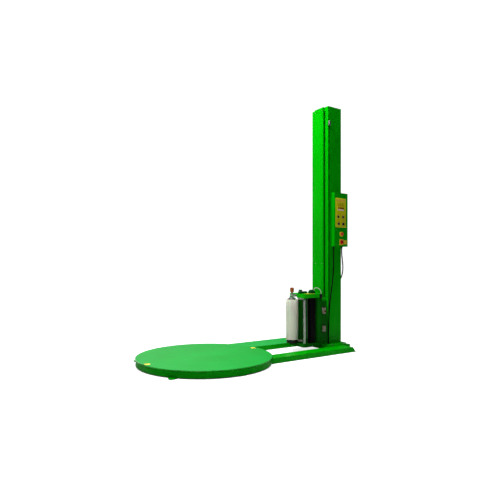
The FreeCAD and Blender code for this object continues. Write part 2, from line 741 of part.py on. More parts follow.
def pulley(z, shaft_r, y0, y1):
    """Flanged belt pulley with its shaft."""
    x = LIFT_AXIS_X
    half = PULLEY_HALF_W
    rim = rod(PULLEY_R, (x, -half, z), 2 * half, ALONG_Y)
    left = rod(PULLEY_FLANGE_R, (x, -half, z), PULLEY_FLANGE_T, ALONG_Y)
    right = rod(PULLEY_FLANGE_R, (x, half - PULLEY_FLANGE_T, z), PULLEY_FLANGE_T, ALONG_Y)
    shaft = rod(shaft_r, (x, y0, z), y1 - y0, ALONG_Y)
    return join(rim, left, right, shaft)


def lift_belt():
    """Flat lifting belt as one closed loop round both pulleys."""
    solids = []
    for radius in (PULLEY_R + BELT_GAP + BELT_T, PULLEY_R + BELT_GAP):
        x = LIFT_AXIS_X
        low = V(x - radius, -BELT_HALF_W, LIFT_LOW_Z)
        high = V(x - radius, -BELT_HALF_W, LIFT_HIGH_Z)
        far_high = V(x + radius, -BELT_HALF_W, LIFT_HIGH_Z)
        far_low = V(x + radius, -BELT_HALF_W, LIFT_LOW_Z)
        edges = [Part.LineSegment(low, high).toShape(),
                 Part.Arc(high, V(x, -BELT_HALF_W, LIFT_HIGH_Z + radius), far_high).toShape(),
                 Part.LineSegment(far_high, far_low).toShape(),
                 Part.Arc(far_low, V(x, -BELT_HALF_W, LIFT_LOW_Z - radius), low).toShape()]
        solids.append(Part.Face(Part.Wire(edges)).extrude(V(0, 2 * BELT_HALF_W, 0)))
    return solids[0].cut(solids[1])


# ---------------------------------------------------------------- trolley and carriage
def carriage_trolley():
    """Trolley inside the mast: two arm plates, a front plate, a belt clamp and the limit finger."""
    x_front = CARRIAGE_X[1]
    low, high = ARM_Z
    pieces = [block(x_front, x_front + TROLLEY_PLATE_T, -ARM_OUT_Y, ARM_OUT_Y, low, high)]
    back_x = GUIDE_BAR_X[0] - 9
    for side in (-1, 1):
        y0 = min(side * ARM_OUT_Y, side * (ARM_OUT_Y - ARM_T))
        pieces.append(block(x_front, back_x + 8, y0, y0 + ARM_T, low, high))
    pieces.append(block(back_x, back_x + 8, -ARM_OUT_Y, ARM_OUT_Y, low, high))
    belt_x0, belt_x1 = BELT_FRONT_X
    gap = BELT_GAP
    pieces.append(block(back_x + 8, belt_x0 - gap, -30, 30, 595, 655))
    pieces.append(block(belt_x1 + gap, belt_x1 + gap + 7, -30, 30, 595, 655))
    for y in (-30, BELT_HALF_W + gap):
        pieces.append(block(belt_x0 - gap - 1, belt_x1 + gap + 1, y, y + 10 - gap, 595, 655))
    finger = block(SIDE_SLOT_X[0] + 2, SIDE_SLOT_X[1] - 2, -MAST_HALF_W - 10, -ARM_OUT_Y + 1, high - 25, high - 5)
    pieces.append(finger)
    trolley = join(*pieces)
    for z in WHEELSET_Z:
        hole = rod(WHEELSET_AXLE_R + RUNNING_FIT, (WHEELSET_X, -120, z), 240, ALONG_Y)
        trolley = trolley.cut(hole)
    return trolley


def wheelset(z):
    """Axle with a guide wheel at each end."""
    axle = rod(WHEELSET_AXLE_R, (WHEELSET_X, -WHEELSET_OUT_Y, z), 2 * WHEELSET_OUT_Y, ALONG_Y)
    width = WHEELSET_OUT_Y - WHEELSET_IN_Y
    right = rod(WHEELSET_R, (WHEELSET_X, -WHEELSET_OUT_Y, z), width, ALONG_Y)
    left = rod(WHEELSET_R, (WHEELSET_X, WHEELSET_IN_Y, z), width, ALONG_Y)
    return join(axle, right, left)


def tray_plates(z_range, lip_up, cutter):
    """Flat plate and upstanding or hanging edges of a tray, as plain plates, less what the cutter takes."""
    x0, x1 = CARRIAGE_X
    y0, y1 = CARRIAGE_Y
    low, high = z_range
    wall = CARRIAGE_SHEET
    radius = CARRIAGE_CORNER_R
    back = x1 - wall
    shell = rounded_block(x0, x1, y0, y1, low, high, radius, "low_x")
    inner = rounded_block(x0 + wall, back, y0 + wall, y1 - wall, low, high, radius - wall, "low_x")
    shell = shell.cut(moved(inner, 0, 0, -wall if lip_up else wall)).cut(cutter)
    plate = (high - wall, high) if lip_up else (low, low + wall)
    lip = (low, high - wall) if lip_up else (low + wall, high)
    mid = x0 + radius * (1 - math.cos(math.pi / 4))
    return parted(shell, [
        (x0, back, y0, y1, *plate),
        (x0 + radius, back, y0, y0 + wall, *lip),
        (x0 + radius, back, y1 - wall, y1, *lip),
        (x0, x0 + wall, y0 + radius, y1 - radius, *lip),
        (x0, mid, y0, y0 + radius, *lip),
        (mid, x0 + radius, y0, y0 + radius, *lip),
        (x0, mid, y1 - radius, y1, *lip),
        (mid, x0 + radius, y1 - radius, y1, *lip),
    ])


def roller_pins(pos, low, high):
    """Two short collared pins that a roller turns on, one on the lower tray and one under the upper tray."""
    x, y = pos
    floor = CARRIAGE_LOW_Z[0] + CARRIAGE_SHEET
    roof = CARRIAGE_HIGH_Z[1] - CARRIAGE_SHEET
    depth = ROLLER_PIN_DEPTH
    foot = join(rod(ROLLER_PIN_R, (x, y, floor), low + depth - floor),
                rod(ROLLER_COLLAR_R, (x, y, floor), low - 1 - floor))
    top = join(rod(ROLLER_PIN_R, (x, y, high - depth), roof - high + depth),
               rod(ROLLER_COLLAR_R, (x, y, high + 1), roof - high - 1))
    return [foot, top]


def carriage_frame():
    """Two trays welded to a back plate, with the roller pins and the tongue under the reel."""
    x0, x1 = CARRIAGE_X
    y0, y1 = CARRIAGE_Y
    low = CARRIAGE_LOW_Z[0]
    high = CARRIAGE_HIGH_Z[1]
    sheet = CARRIAGE_SHEET
    rx, ry = REEL_POS
    notch = rod(PLUNGER_CONE_R + PLUNGER_NOTCH_GAP, (rx, ry, CARRIAGE_HIGH_Z[0] - 1), high - CARRIAGE_HIGH_Z[0] + 2)
    tongue = join(block(rx, x0 + 20, -TONGUE_HALF_W, TONGUE_HALF_W, *TONGUE_Z),
                  rod(TONGUE_HALF_W, (rx, ry, TONGUE_Z[0]), TONGUE_Z[1] - TONGUE_Z[0]))
    pieces = tray_plates(CARRIAGE_HIGH_Z, True, notch) + tray_plates(CARRIAGE_LOW_Z, False, tongue)
    pieces.append(block(x1 - sheet, x1, y0, y1, low, high))
    pieces.append(block(x1, x1 + SIDE_PLATE_L, y0, y0 + sheet, CARRIAGE_LOW_Z[1], CARRIAGE_HIGH_Z[0]))
    pieces.append(block(x0 + sheet, x0 + 20, -TONGUE_HALF_W, TONGUE_HALF_W, low + sheet, TONGUE_Z[0]))
    pieces.append(tongue)
    pieces.append(rod(REEL_PIN_R, (rx, ry, TONGUE_Z[1]), 160 - TONGUE_Z[1]))
    for pos, radius in ROLLERS:
        roller_low, roller_high = roller_span(radius)
        pieces.extend(roller_pins(pos, roller_low, roller_high))
    return group(pieces)


def roller_span(radius):
    """Lower and upper end of a roller of this radius."""
    if radius == GREY_ROLLER_R:
        return CARRIAGE_LOW_Z[1] - 5, CARRIAGE_HIGH_Z[0] - 18
    return CARRIAGE_LOW_Z[1] + 2, CARRIAGE_HIGH_Z[0] - 2


def roller(pos, radius):
    """Roller with blind bores for its two pins."""
    x, y = pos
    low, high = roller_span(radius)
    body = rod(radius, (x, y, low), high - low)
    bore_r = ROLLER_PIN_R + RUNNING_FIT
    body = body.cut(rod(bore_r, (x, y, low - 1), 16)).cut(rod(bore_r, (x, y, high - 15), 16))
    rims = [e for e in body.Edges if e.BoundBox.XLength > 1.9 * radius and e.BoundBox.ZLength < 0.1]
    return body.makeFillet(2, rims)


def carriage_cover():
    """Curved sheet cover between the trays on the operator's side, in flat and quarter-round strips."""
    x0, y1 = HOOD_X, HOOD_FAR_Y
    x1 = CARRIAGE_X[1] - CARRIAGE_SHEET
    y0 = CARRIAGE_Y[0] + CARRIAGE_SHEET
    z0, z1 = CARRIAGE_LOW_Z[1] - 10, CARRIAGE_HIGH_Z[0] + 10
    radius, sheet = HOOD_R, HOOD_T
    outer = rounded_block(x0, x1 + 40, y0, y1, z0, z1, radius, "low_x")
    inner = rounded_block(x0 + sheet, x1 + 41, y0 + sheet, y1 - sheet, z0, z1, radius - sheet, "low_x")
    end = x1 - 0.01
    mid = x0 + radius * (1 - math.cos(math.pi / 4))
    return group(parted(outer.cut(inner), [
        (x0, x0 + sheet, y0 + radius, y1 - radius, z0, z1),
        (x0 + radius, end, y0, y0 + sheet, z0, z1),
        (x0 + radius, end, y1 - sheet, y1, z0, z1),
        (x0, mid, y0, y0 + radius, z0, z1),
        (mid, x0 + radius, y0, y0 + radius, z0, z1),
        (x0, mid, y1 - radius, y1, z0, z1),
        (mid, x0 + radius, y1 - radius, y1, z0, z1),
    ]))


def film_roll():
    """Wound film on its cardboard core."""
    x, y = REEL_POS
    film = tube(FILM_R, CORE_R, (x, y, FILM_LOW_Z), FILM_LENGTH)
    core = tube(CORE_R, CORE_R - CORE_WALL, (x, y, FILM_LOW_Z - CORE_PROUD), FILM_LENGTH + 2 * CORE_PROUD)
    return join(film, core)


def reel_base():
    """Black disc with the lower core cone, which turns on the carriage's reel pin."""
    x, y = REEL_POS
    low, high = REEL_DISC_Z
    disc = rod(REEL_DISC_R, (x, y, low), high - low)
    step = rod(CORE_R - CORE_WALL + 4, (x, y, high), FILM_LOW_Z - CORE_PROUD - high)
    cone = Part.makeCone(CORE_R - CORE_WALL - 0.3, CORE_R - CORE_WALL - 8, 40, V(x, y, FILM_LOW_Z - CORE_PROUD), UP)
    body = join(disc, step, cone)
    return body.cut(rod(REEL_PIN_R + RUNNING_FIT, (x, y, low - 1), 162 - low))


def reel_arm():
    """Flat arm over the reel under the upper tray, its riser, and the guide bore for the plunger."""
    x, y = REEL_POS
    low, high = ARM_LEVEL_Z
    under = CARRIAGE_HIGH_Z[1] - CARRIAGE_SHEET
    arm = join(block(x, ARM_END_X, -ARM_HALF_W, ARM_HALF_W, low, high), rod(ARM_HALF_W, (x, y, low), high - low),
               block(ARM_END_X - 30, ARM_END_X, -ARM_HALF_W, ARM_HALF_W, low, under))
    return arm.cut(rod(PLUNGER_STEM_R + RUNNING_FIT, (x, y, low - 1), high - low + 2))


def reel_plunger():
    """Upper cone that holds the core, on its lifting stem."""
    x, y = REEL_POS
    seat = FILM_LOW_Z + FILM_LENGTH + CORE_PROUD
    inner = CORE_R - CORE_WALL - 0.3
    nose = Part.makeCone(inner - 8, inner, 16, V(x, y, seat - 16), UP)
    skirt = Part.makeCone(PLUNGER_CONE_R, 30, 22, V(x, y, seat + 0.3), UP)
    neck = rod(inner, (x, y, seat), 2)
    stem = rod(PLUNGER_STEM_R, (x, y, seat), KNOB_LOW_Z - seat)
    return join(nose, skirt, neck, stem)


def reel_knob():
    """Pull knob on top of the plunger's stem."""
    x, y = REEL_POS
    knob = join(rod(16, (x, y, KNOB_LOW_Z), 8), rod(KNOB_R, (x, y, KNOB_LOW_Z + 8), KNOB_L - 8))
    rims = [e for e in knob.Edges if e.BoundBox.XLength > 1.9 * KNOB_R and e.BoundBox.ZLength < 0.1]
    return knob.makeFillet(4, rims)


def brake_unit():
    """Round magnetic brake on the upper tray over the black roller."""
    x, y = BRAKE_ROLLER_POS
    top = CARRIAGE_HIGH_Z[1]
    body = join(rod(40, (x, y, top), 34), rod(26, (x, y, top + 34), 14))
    socket = block(x + 30, x + 52, y - 12, y + 12, top, top + 26)
    return join(body, socket)


def tension_bracket():
    """Bracket that the tension knob's spindle stands in, part of the arm plate."""
    x, y = TENSION_POS
    top = CARRIAGE_HIGH_Z[1]
    upright = block(x - 28, x + 95, y - 6, y + 30, top, top + 26)
    return upright.cut(rod(TENSION_STEM_R + RUNNING_FIT, (x, y + 12, top + 5), 30))


def tension_knob():
    """Three-lobed hand knob that sets the film's tension."""
    x, y = TENSION_POS
    top = CARRIAGE_HIGH_Z[1] + 26
    y = y + 12
    stem = rod(TENSION_STEM_R, (x, y, top - 16), 24)
    lobes = []
    for index in range(3):
        angle = math.radians(120 * index + 30)
        lobes.append(rod(11, (x + 15 * math.cos(angle), y + 15 * math.sin(angle), top + 2), 22))
    return join(stem, rod(16, (x, y, top + 2), 22), *lobes)


def junction_boxes():
    """Two small terminal boxes on the carriage's side plate, each with its gland and cover lens."""
    y = CARRIAGE_Y[0]
    boxes = []
    for z in JUNCTION_Z:
        case = block(JUNCTION_X - JUNCTION_HALF_W, JUNCTION_X + JUNCTION_HALF_W, y - 28, y, z - 37, z + 37)
        edges = [e for e in case.Edges if e.BoundBox.YLength > 20]
        case = case.makeFillet(5, edges)
        low = tube(9, 4, (JUNCTION_X, y - 14, z - 55), 18)
        high = tube(9, 4, (JUNCTION_X, y - 14, z + 37), 18)
        boxes.append(join(case, low, high))
    lens = rod(13, (JUNCTION_X + 8, y - 32, JUNCTION_Z[1] - 8), 6, ALONG_Y)
    boxes[1] = join(boxes[1], lens)
    return group(boxes)


# ---------------------------------------------------------------- control box
def control_box():
    """Box of five plates on the mast's side, open to the front."""
    wall = BOX_WALL
    x0, x1 = BOX_X
    y0, y1 = BOX_Y
    z0, z1 = BOX_Z
    return group([
        block(x0, x1, y1 - wall, y1, z0, z1),
        block(x0, x0 + wall, y0, y1 - wall, z0, z1),
        block(x1 - wall, x1, y0, y1 - wall, z0, z1),
        block(x0 + wall, x1 - wall, y0, y1 - wall, z0, z0 + wall),
        block(x0 + wall, x1 - wall, y0, y1 - wall, z1 - wall, z1),
    ])


def panel_items():
    """Where each operating element sits on the covers: x, z and the bore radius of its stem."""
    return (SELECTOR_LEFT, SELECTOR_RIGHT, DIAL_LEFT, DIAL_RIGHT, MAIN_SWITCH, ESTOP)


def control_cover():
    """Upper and lower front panels with the stem holes, and a seam between them."""
    face = BOX_Y[0] - COVER_T
    seam = 1.0
    upper = block(BOX_X[0], BOX_X[1], face, BOX_Y[0], COVER_SEAM_Z + seam, BOX_Z[1])
    lower = block(BOX_X[0], BOX_X[1], face, BOX_Y[0], BOX_Z[0], COVER_SEAM_Z - seam)
    panels = group([upper, lower])
    for x, z, stem_r in panel_items():
        panels = panels.cut(rod(stem_r + 1, (x, face - 1, z), COVER_T + 2, ALONG_Y))
    return panels


def switch_bezels():
    """Bezels on the covers: four rings, the yellow collar, the yellow plate and the display block."""
    face = BOX_Y[0] - COVER_T
    items = []
    for x, z, stem_r in (SELECTOR_LEFT, SELECTOR_RIGHT, DIAL_LEFT, DIAL_RIGHT):
        items.append(tube(BEZEL_R, stem_r + RUNNING_FIT, (x, face - BEZEL_T, z), BEZEL_T, ALONG_Y))
    x, z, stem_r = ESTOP
    collar = tube(COLLAR_R, stem_r + RUNNING_FIT, (x, face - COLLAR_T, z), COLLAR_T, ALONG_Y)
    items.append(collar)
    x, z, stem_r = MAIN_SWITCH
    half = SWITCH_PLATE / 2
    plate = block(x - half, x + half, face - BEZEL_T, face, z - half, z + half)
    items.append(plate.cut(rod(stem_r + RUNNING_FIT, (x, face - BEZEL_T - 1, z), BEZEL_T + 2, ALONG_Y)))
    x0, x1, z0, z1 = DISPLAY
    items.append(block(x0, x1, face - 6, face, z0, z1))
    return group(items)


def turn_knob(place, knob_r, front_gap, depth, grip_w):
    """Round knob with a grip bar and a stem that passes through its bezel."""
    x, z, stem_r = place
    face = BOX_Y[0] - COVER_T - BEZEL_T
    base = rod(knob_r, (x, face - front_gap - depth, z), depth, ALONG_Y)
    stem = rod(stem_r, (x, face - front_gap, z), front_gap + BEZEL_T + COVER_T + 6, ALONG_Y)
    grip = block(x - grip_w / 2, x + grip_w / 2, face - front_gap - depth - 9, face - front_gap - depth,
                 z - knob_r * 0.94, z + knob_r * 0.94)
    return join(base, stem, grip)


def estop_button():
    """Mushroom push button in its collar."""
    x, z, stem_r = ESTOP
    face = BOX_Y[0] - COVER_T - COLLAR_T
    stem = rod(stem_r, (x, face - ESTOP_TRAVEL - 2, z), ESTOP_TRAVEL + 2 + COLLAR_T + COVER_T + 2, ALONG_Y)
    head = rod(ESTOP_R, (x, face - ESTOP_TRAVEL - 14, z), 13, ALONG_Y)
    rims = [e for e in head.Edges if e.BoundBox.XLength > 1.9 * ESTOP_R and e.BoundBox.YLength < 0.1]
    front = [e for e in rims if e.BoundBox.Center.y < face - ESTOP_TRAVEL - 10]
    return join(head.makeFillet(6, front), stem)


# ---------------------------------------------------------------- cables, glands and fasteners
def gland(start, axis, length=GLAND_L, radius=13.0):
    """Cable gland: hexagon nut and round dome."""
    nut = hex_head(radius, length * 0.45, start, axis)
    tip = V(*start) + axis * (length * 0.45)
    dome = rod(radius * 0.78, (tip.x, tip.y, tip.z), length * 0.55, axis)
    return join(nut, dome)


def cable_glands():
    """Glands under the control box and on the foot, and the hooded inlet behind the mast."""
    down = V(0, 0, -1)
    motor_top = MOTOR_CABLE[0]
    motor_low = MOTOR_CABLE[-1]
    mast_top = MAST_CABLE[0]
    mast_low = MAST_CABLE[-1]
    inlet_top = mast_low[2] - GLAND_L
    inlet = block(MAST_X[1], MAST_X[1] + 38, mast_low[1] - 22, mast_low[1] + 22, inlet_top - 45, inlet_top)
    return group([gland((motor_top[0], motor_top[1], BOX_Z[0]), down, BOX_Z[0] - motor_top[2]),
                  gland((mast_top[0], mast_top[1], BOX_Z[0]), down, BOX_Z[0] - mast_top[2]),
                  gland((motor_low[0], motor_low[1], FOOT_Z[1]), UP, motor_low[2] - FOOT_Z[1]),
                  join(inlet, gland((mast_low[0], mast_low[1], inlet_top), UP))])


def brake_gland_shape():
    """Black elbow on the upper tray's side where the brake cable goes in."""
    x, y, z = BRAKE_CABLE[-1]
    return join(block(x - 14, x + 14, CARRIAGE_Y[0] - 28, CARRIAGE_Y[0], z - 60, z - 12), rod(9, (x, y, z - 12), 12))


def bolt(start, axis, across, height):
    """Bolt head on its washer."""
    washer = rod(across * 0.62, start, 2.0, axis)
    tip = V(*start) + axis * 2.0
    return join(washer, hex_head(across / 2 / math.cos(math.pi / 6), height, (tip.x, tip.y, tip.z), axis))


def screw(start, axis, radius):
    """Low round screw head."""
    return rod(radius, start, 2.0, axis)


def fasteners():
    """Foot bolts, panel screws, cover screws and door screws."""
    pieces = []
    for x, y in ((1690, -262), (1890, -255), (1690, 178), (1900, 178)):
        pieces.append(bolt((x, y, FOOT_Z[1]), UP, 24, 10))
    face = BOX_Y[0] - COVER_T
    for x in (BOX_X[0] + 24, BOX_X[1] - 24):
        for z in (BOX_Z[1] - 30, COVER_SEAM_Z + 20, COVER_SEAM_Z - 20, BOX_Z[0] + 30):
            pieces.append(screw((x, face, z), V(0, -1, 0), 5))
    for y in (-60, 60):
        for z in (MAST_LOW_Z + 30, 1100, 2100, MAST_TOP_Z - 40):
            pieces.append(screw((COVER_FACE_X, y, z), V(-1, 0, 0), 5))
    for y in (-115, 115):
        for z in (REAR_OPENING_Z[0] - 10, REAR_OPENING_Z[1] + 10):
            pieces.append(screw((MAST_X[1] + REAR_COVER_T, y, z), ALONG_X, 5))
    for x in (DRIVE_COVER_X[0] + 40, DRIVE_COVER_X[1] - 40):
        pieces.append(screw((x, DRIVE_COVER_Y[0], RAIL_H + 30), V(0, -1, 0), 5))
        pieces.append(screw((x, DRIVE_COVER_Y[1], RAIL_H + 30), ALONG_Y, 5))
    return group(pieces)


# ---------------------------------------------------------------- the whole machine
def main():
    """Build every sub-part and write it to its file."""
    os.makedirs("parts", exist_ok=True)
    keep("base_spider", base_spider())
    keep("skirt_ring", skirt_ring())
    keep("pivot_post", pivot_post())
    keep("table_plate", table_plate())
    keep("table_hub", table_hub())
    keep("drive_ring", drive_ring())
    keep("drive_sprocket", drive_sprocket())
    keep("idler_sprocket", idler_sprocket())
    keep("drive_chain", drive_chain())
    keep("wheel_brackets", wheel_brackets())
    for index, degrees in enumerate(SPOKE_ANGLES):
        keep("support_wheel_" + str(index + 1), support_wheel(degrees))
    keep("near_rail", rail(NEAR_RAIL_Y))
    keep("far_rail", far_rail())
    keep("mast_foot", mast_foot())
    keep("table_gearmotor", table_gearmotor())
    keep("motor_cover", motor_cover())
    keep("mast_column", mast_column())
    keep("mast_front_cover", mast_front_cover())
    keep("mast_top_cap", mast_top_cap())
    keep("mast_rear_cover", mast_rear_cover())
    keep("limit_switches", limit_switches())
    keep("lift_gearmotor", lift_gearmotor())
    keep("lift_drive_pulley", pulley(LIFT_LOW_Z, LIFT_SHAFT_R, -PULLEY_HALF_W - 6, 118))
    keep("lift_top_pulley", pulley(LIFT_HIGH_Z, TOP_SHAFT_R, -124, 124))
    keep("lift_belt", lift_belt())
    keep("carriage_trolley", carriage_trolley())
    keep("wheelset_lower", wheelset(WHEELSET_Z[0]))
    keep("wheelset_upper", wheelset(WHEELSET_Z[1]))
    keep("carriage_frame", carriage_frame())
    keep("carriage_cover", carriage_cover())
    keep("green_roller", roller(GREEN_ROLLER_POS, GREEN_ROLLER_R))
    keep("grey_roller", roller(GREY_ROLLER_POS, GREY_ROLLER_R))
    keep("brake_roller", roller(BRAKE_ROLLER_POS, BRAKE_ROLLER_R))
    keep("film_roll", film_roll())
    keep("reel_base", reel_base())
    keep("reel_arm", group([reel_arm(), tension_bracket()]))
    keep("reel_plunger", reel_plunger())
    keep("reel_knob", reel_knob())
    keep("tension_knob", tension_knob())
    keep("brake_unit", brake_unit())
    keep("junction_boxes", group([junction_boxes(), brake_gland_shape()]))
    keep("brake_cable", bent_tube(BRAKE_CABLE, BRAKE_CABLE_D, "brake_cable"))
    keep("control_box", control_box())
    keep("control_cover", control_cover())
    keep("switch_bezels", switch_bezels())
    keep("selector_left", turn_knob(SELECTOR_LEFT, 14.0, 0.5, 7.0, 7.0))
    keep("selector_right", turn_knob(SELECTOR_RIGHT, 14.0, 0.5, 7.0, 7.0))
    keep("dial_left", turn_knob(DIAL_LEFT, 15.0, 0.5, 12.0, 3.0))
    keep("dial_right", turn_knob(DIAL_RIGHT, 15.0, 0.5, 12.0, 3.0))
    keep("main_switch_knob", turn_knob(MAIN_SWITCH, 26.0, 0.5, 10.0, 12.0))
    keep("estop_button", estop_button())
    keep("cable_glands", cable_glands())
    keep("motor_cable", bent_tube(MOTOR_CABLE, CABLE_D, "motor_cable"))
    keep("mast_cable", bent_tube(MAST_CABLE, CABLE_D, "mast_cable"))
    keep("fasteners", fasteners())
    box = group(PARTS.values()).BoundBox
    print("nodes", len(PARTS))
    print("box", [round(v, 2) for v in (box.XMin, box.XMax, box.YMin, box.YMax, box.ZMin, box.ZMax)])


main()
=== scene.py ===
"""Looks of a turntable pallet wrapper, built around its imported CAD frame.

The frame's own axes hold throughout: +Z up, +X from the turntable to the mast, and -Y
towards the operator.
"""

from __future__ import annotations

import bmesh
import bpy
import json
import logging
import math
from dataclasses import dataclass
from enum import Enum
from functools import cache
from mathutils import Matrix, Vector

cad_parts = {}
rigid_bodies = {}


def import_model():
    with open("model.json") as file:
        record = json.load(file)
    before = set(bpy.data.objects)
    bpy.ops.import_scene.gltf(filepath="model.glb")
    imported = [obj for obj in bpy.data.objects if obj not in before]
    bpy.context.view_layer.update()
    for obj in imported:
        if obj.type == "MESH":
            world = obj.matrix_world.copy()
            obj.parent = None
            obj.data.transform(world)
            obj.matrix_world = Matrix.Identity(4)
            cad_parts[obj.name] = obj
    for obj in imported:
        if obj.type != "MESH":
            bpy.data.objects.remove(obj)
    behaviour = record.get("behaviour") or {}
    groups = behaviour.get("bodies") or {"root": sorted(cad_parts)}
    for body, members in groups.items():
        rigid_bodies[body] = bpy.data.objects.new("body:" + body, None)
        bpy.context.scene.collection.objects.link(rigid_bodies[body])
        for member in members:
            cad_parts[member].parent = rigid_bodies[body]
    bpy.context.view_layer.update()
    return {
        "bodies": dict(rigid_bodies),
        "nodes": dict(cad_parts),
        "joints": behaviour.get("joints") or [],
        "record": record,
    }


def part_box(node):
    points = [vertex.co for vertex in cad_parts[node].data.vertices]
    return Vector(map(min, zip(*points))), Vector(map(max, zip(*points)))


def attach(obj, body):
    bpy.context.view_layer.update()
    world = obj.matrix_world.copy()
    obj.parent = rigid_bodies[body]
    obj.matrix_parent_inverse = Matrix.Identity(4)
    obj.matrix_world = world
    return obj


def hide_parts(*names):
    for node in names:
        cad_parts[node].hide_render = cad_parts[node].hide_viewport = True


LOG = logging.getLogger("wrapper")
MM = 0.001
Point = tuple[float, float, float]
Span = tuple[float, float]
Socket = bpy.types.NodeSocket
Material = bpy.types.Material

REEL_AXIS = (1245.0, 0.0)
BRAKE_AXIS = (1474.0, -106.0)
SCREW_AXIS = (1345.0, -48.0)
MAST_SIDE = -150.0
CARRIAGE_SIDE = -175.0


class Axis(Enum):
    """Direction that a turned piece stands along."""

    X = (1, 0, 0)
    Y = (0, 1, 0)
    Z = (0, 0, 1)
    FRONT = (0, -1, 0)
    DOWN = (0, 0, -1)


# ---------------- colour and nodes
def linear(hex_colour: str) -> tuple[float, float, float, float]:
    """Turns an sRGB hex value into a linear colour.

    Args:
        hex_colour: Six hex digits.

    Returns:
        Linear red, green, blue and an alpha of one.
    """
    parts = (int(hex_colour[start:start + 2], 16) / 255 for start in (0, 2, 4))
    red, green, blue = (c / 12.92 if c <= 0.04045 else ((c + 0.055) / 1.055) ** 2.4 for c in parts)
    return red, green, blue, 1.0


class Nodes:
    """A node tree with short ways to add to it."""

    def __init__(self, tree: bpy.types.NodeTree) -> None:
        """Takes the tree to add to."""
        self.tree = tree

    def add(self, kind: str, settings: dict | None = None,
            sockets: dict | None = None) -> bpy.types.Node:
        """Adds a node with its settings and links.

        Args:
            kind: The node's type name, without its ShaderNode prefix.
            settings: Property values.
            sockets: Input values, or output sockets to link from.

        Returns:
            The new node.
        """
        node = self.tree.nodes.new("ShaderNode" + kind)
        for key, value in (settings or {}).items():
            setattr(node, key, value)
        for key, value in (sockets or {}).items():
            if isinstance(value, Socket):
                self.tree.links.new(value, node.inputs[key])
            else:
                node.inputs[key].default_value = value
        return node

    def two_tone(self, factor: Socket, first: str | Socket, second: str | Socket) -> Socket:
        """Mixes two hex colours or sockets: the second shows where the factor is one."""
        first, second = (linear(c) if isinstance(c, str) else c for c in (first, second))
        return self.add("Mix", {"data_type": "RGBA"}, {0: factor, 6: first, 7: second}).outputs[2]

    def spread(self, value: Socket, low: float, high: float, to_low: float = 0.0,
             to_high: float = 1.0) -> Socket:
        """Stretches the span from low to high of a value to another span."""
        return self.add("MapRange", sockets={
            "Value": value, "From Min": low, "From Max": high, "To Min": to_low,
            "To Max": to_high}).outputs["Result"]

    def mottle(self, size: float, stretch: Point = (1.0, 1.0, 1.0), detail: float = 3.0) -> Socket:
        """Noise on Object coordinates with blobs of a real size.

        Args:
            size: Size of a blob in metres.
            stretch: How much faster the pattern changes along each axis.
            detail: Octaves of finer noise.

        Returns:
            The noise value.
        """
        place = self.add("TexCoord").outputs["Object"]
        mapped = self.add("Mapping", sockets={"Vector": place, "Scale": stretch})
        return self.add("TexNoise", sockets={"Vector": mapped.outputs["Vector"],
                                             "Scale": 1.0 / size, "Detail": detail}).outputs["Fac"]


class Coat(Nodes):
    """A material with one Principled shader while it is put together."""

    def __init__(self, name: str, values: dict) -> None:
        """Starts a material.

        Args:
            name: The material's name.
            values: The shader's plain values.
        """
        self.material = bpy.data.materials.new(name)
        self.material.use_nodes = True
        super().__init__(self.material.node_tree)
        self.tree.nodes.clear()
        self.shader = self.add("BsdfPrincipled", sockets=values)
        self.add("OutputMaterial", sockets={"Surface": self.shader.outputs["BSDF"]})

    def feed(self, socket: str, value: Socket) -> None:
        """Links a value into the shader."""
        self.tree.links.new(value, self.shader.inputs[socket])

    def rough(self, pattern: Socket, low: float, high: float, level: float, down: float,
              up: float) -> None:
        """Varies the roughness about a level, down to one share of it and up to another."""
        self.feed("Roughness", self.spread(pattern, low, high, level * down, level * up))

    def relief(self, height: Socket, strength: float, depth: float,
               normal: Socket | None = None) -> None:
        """Gives the surface a fine relief.

        Args:
            height: Its pattern.
            strength: Its strength.
            depth: Its depth in metres.
            normal: Normal that it starts from, where edges are softened.
        """
        sockets = {"Strength": strength, "Distance": depth, "Height": height}
        if normal:
            sockets["Normal"] = normal
        self.feed("Normal", self.add("Bump", sockets=sockets).outputs["Normal"])


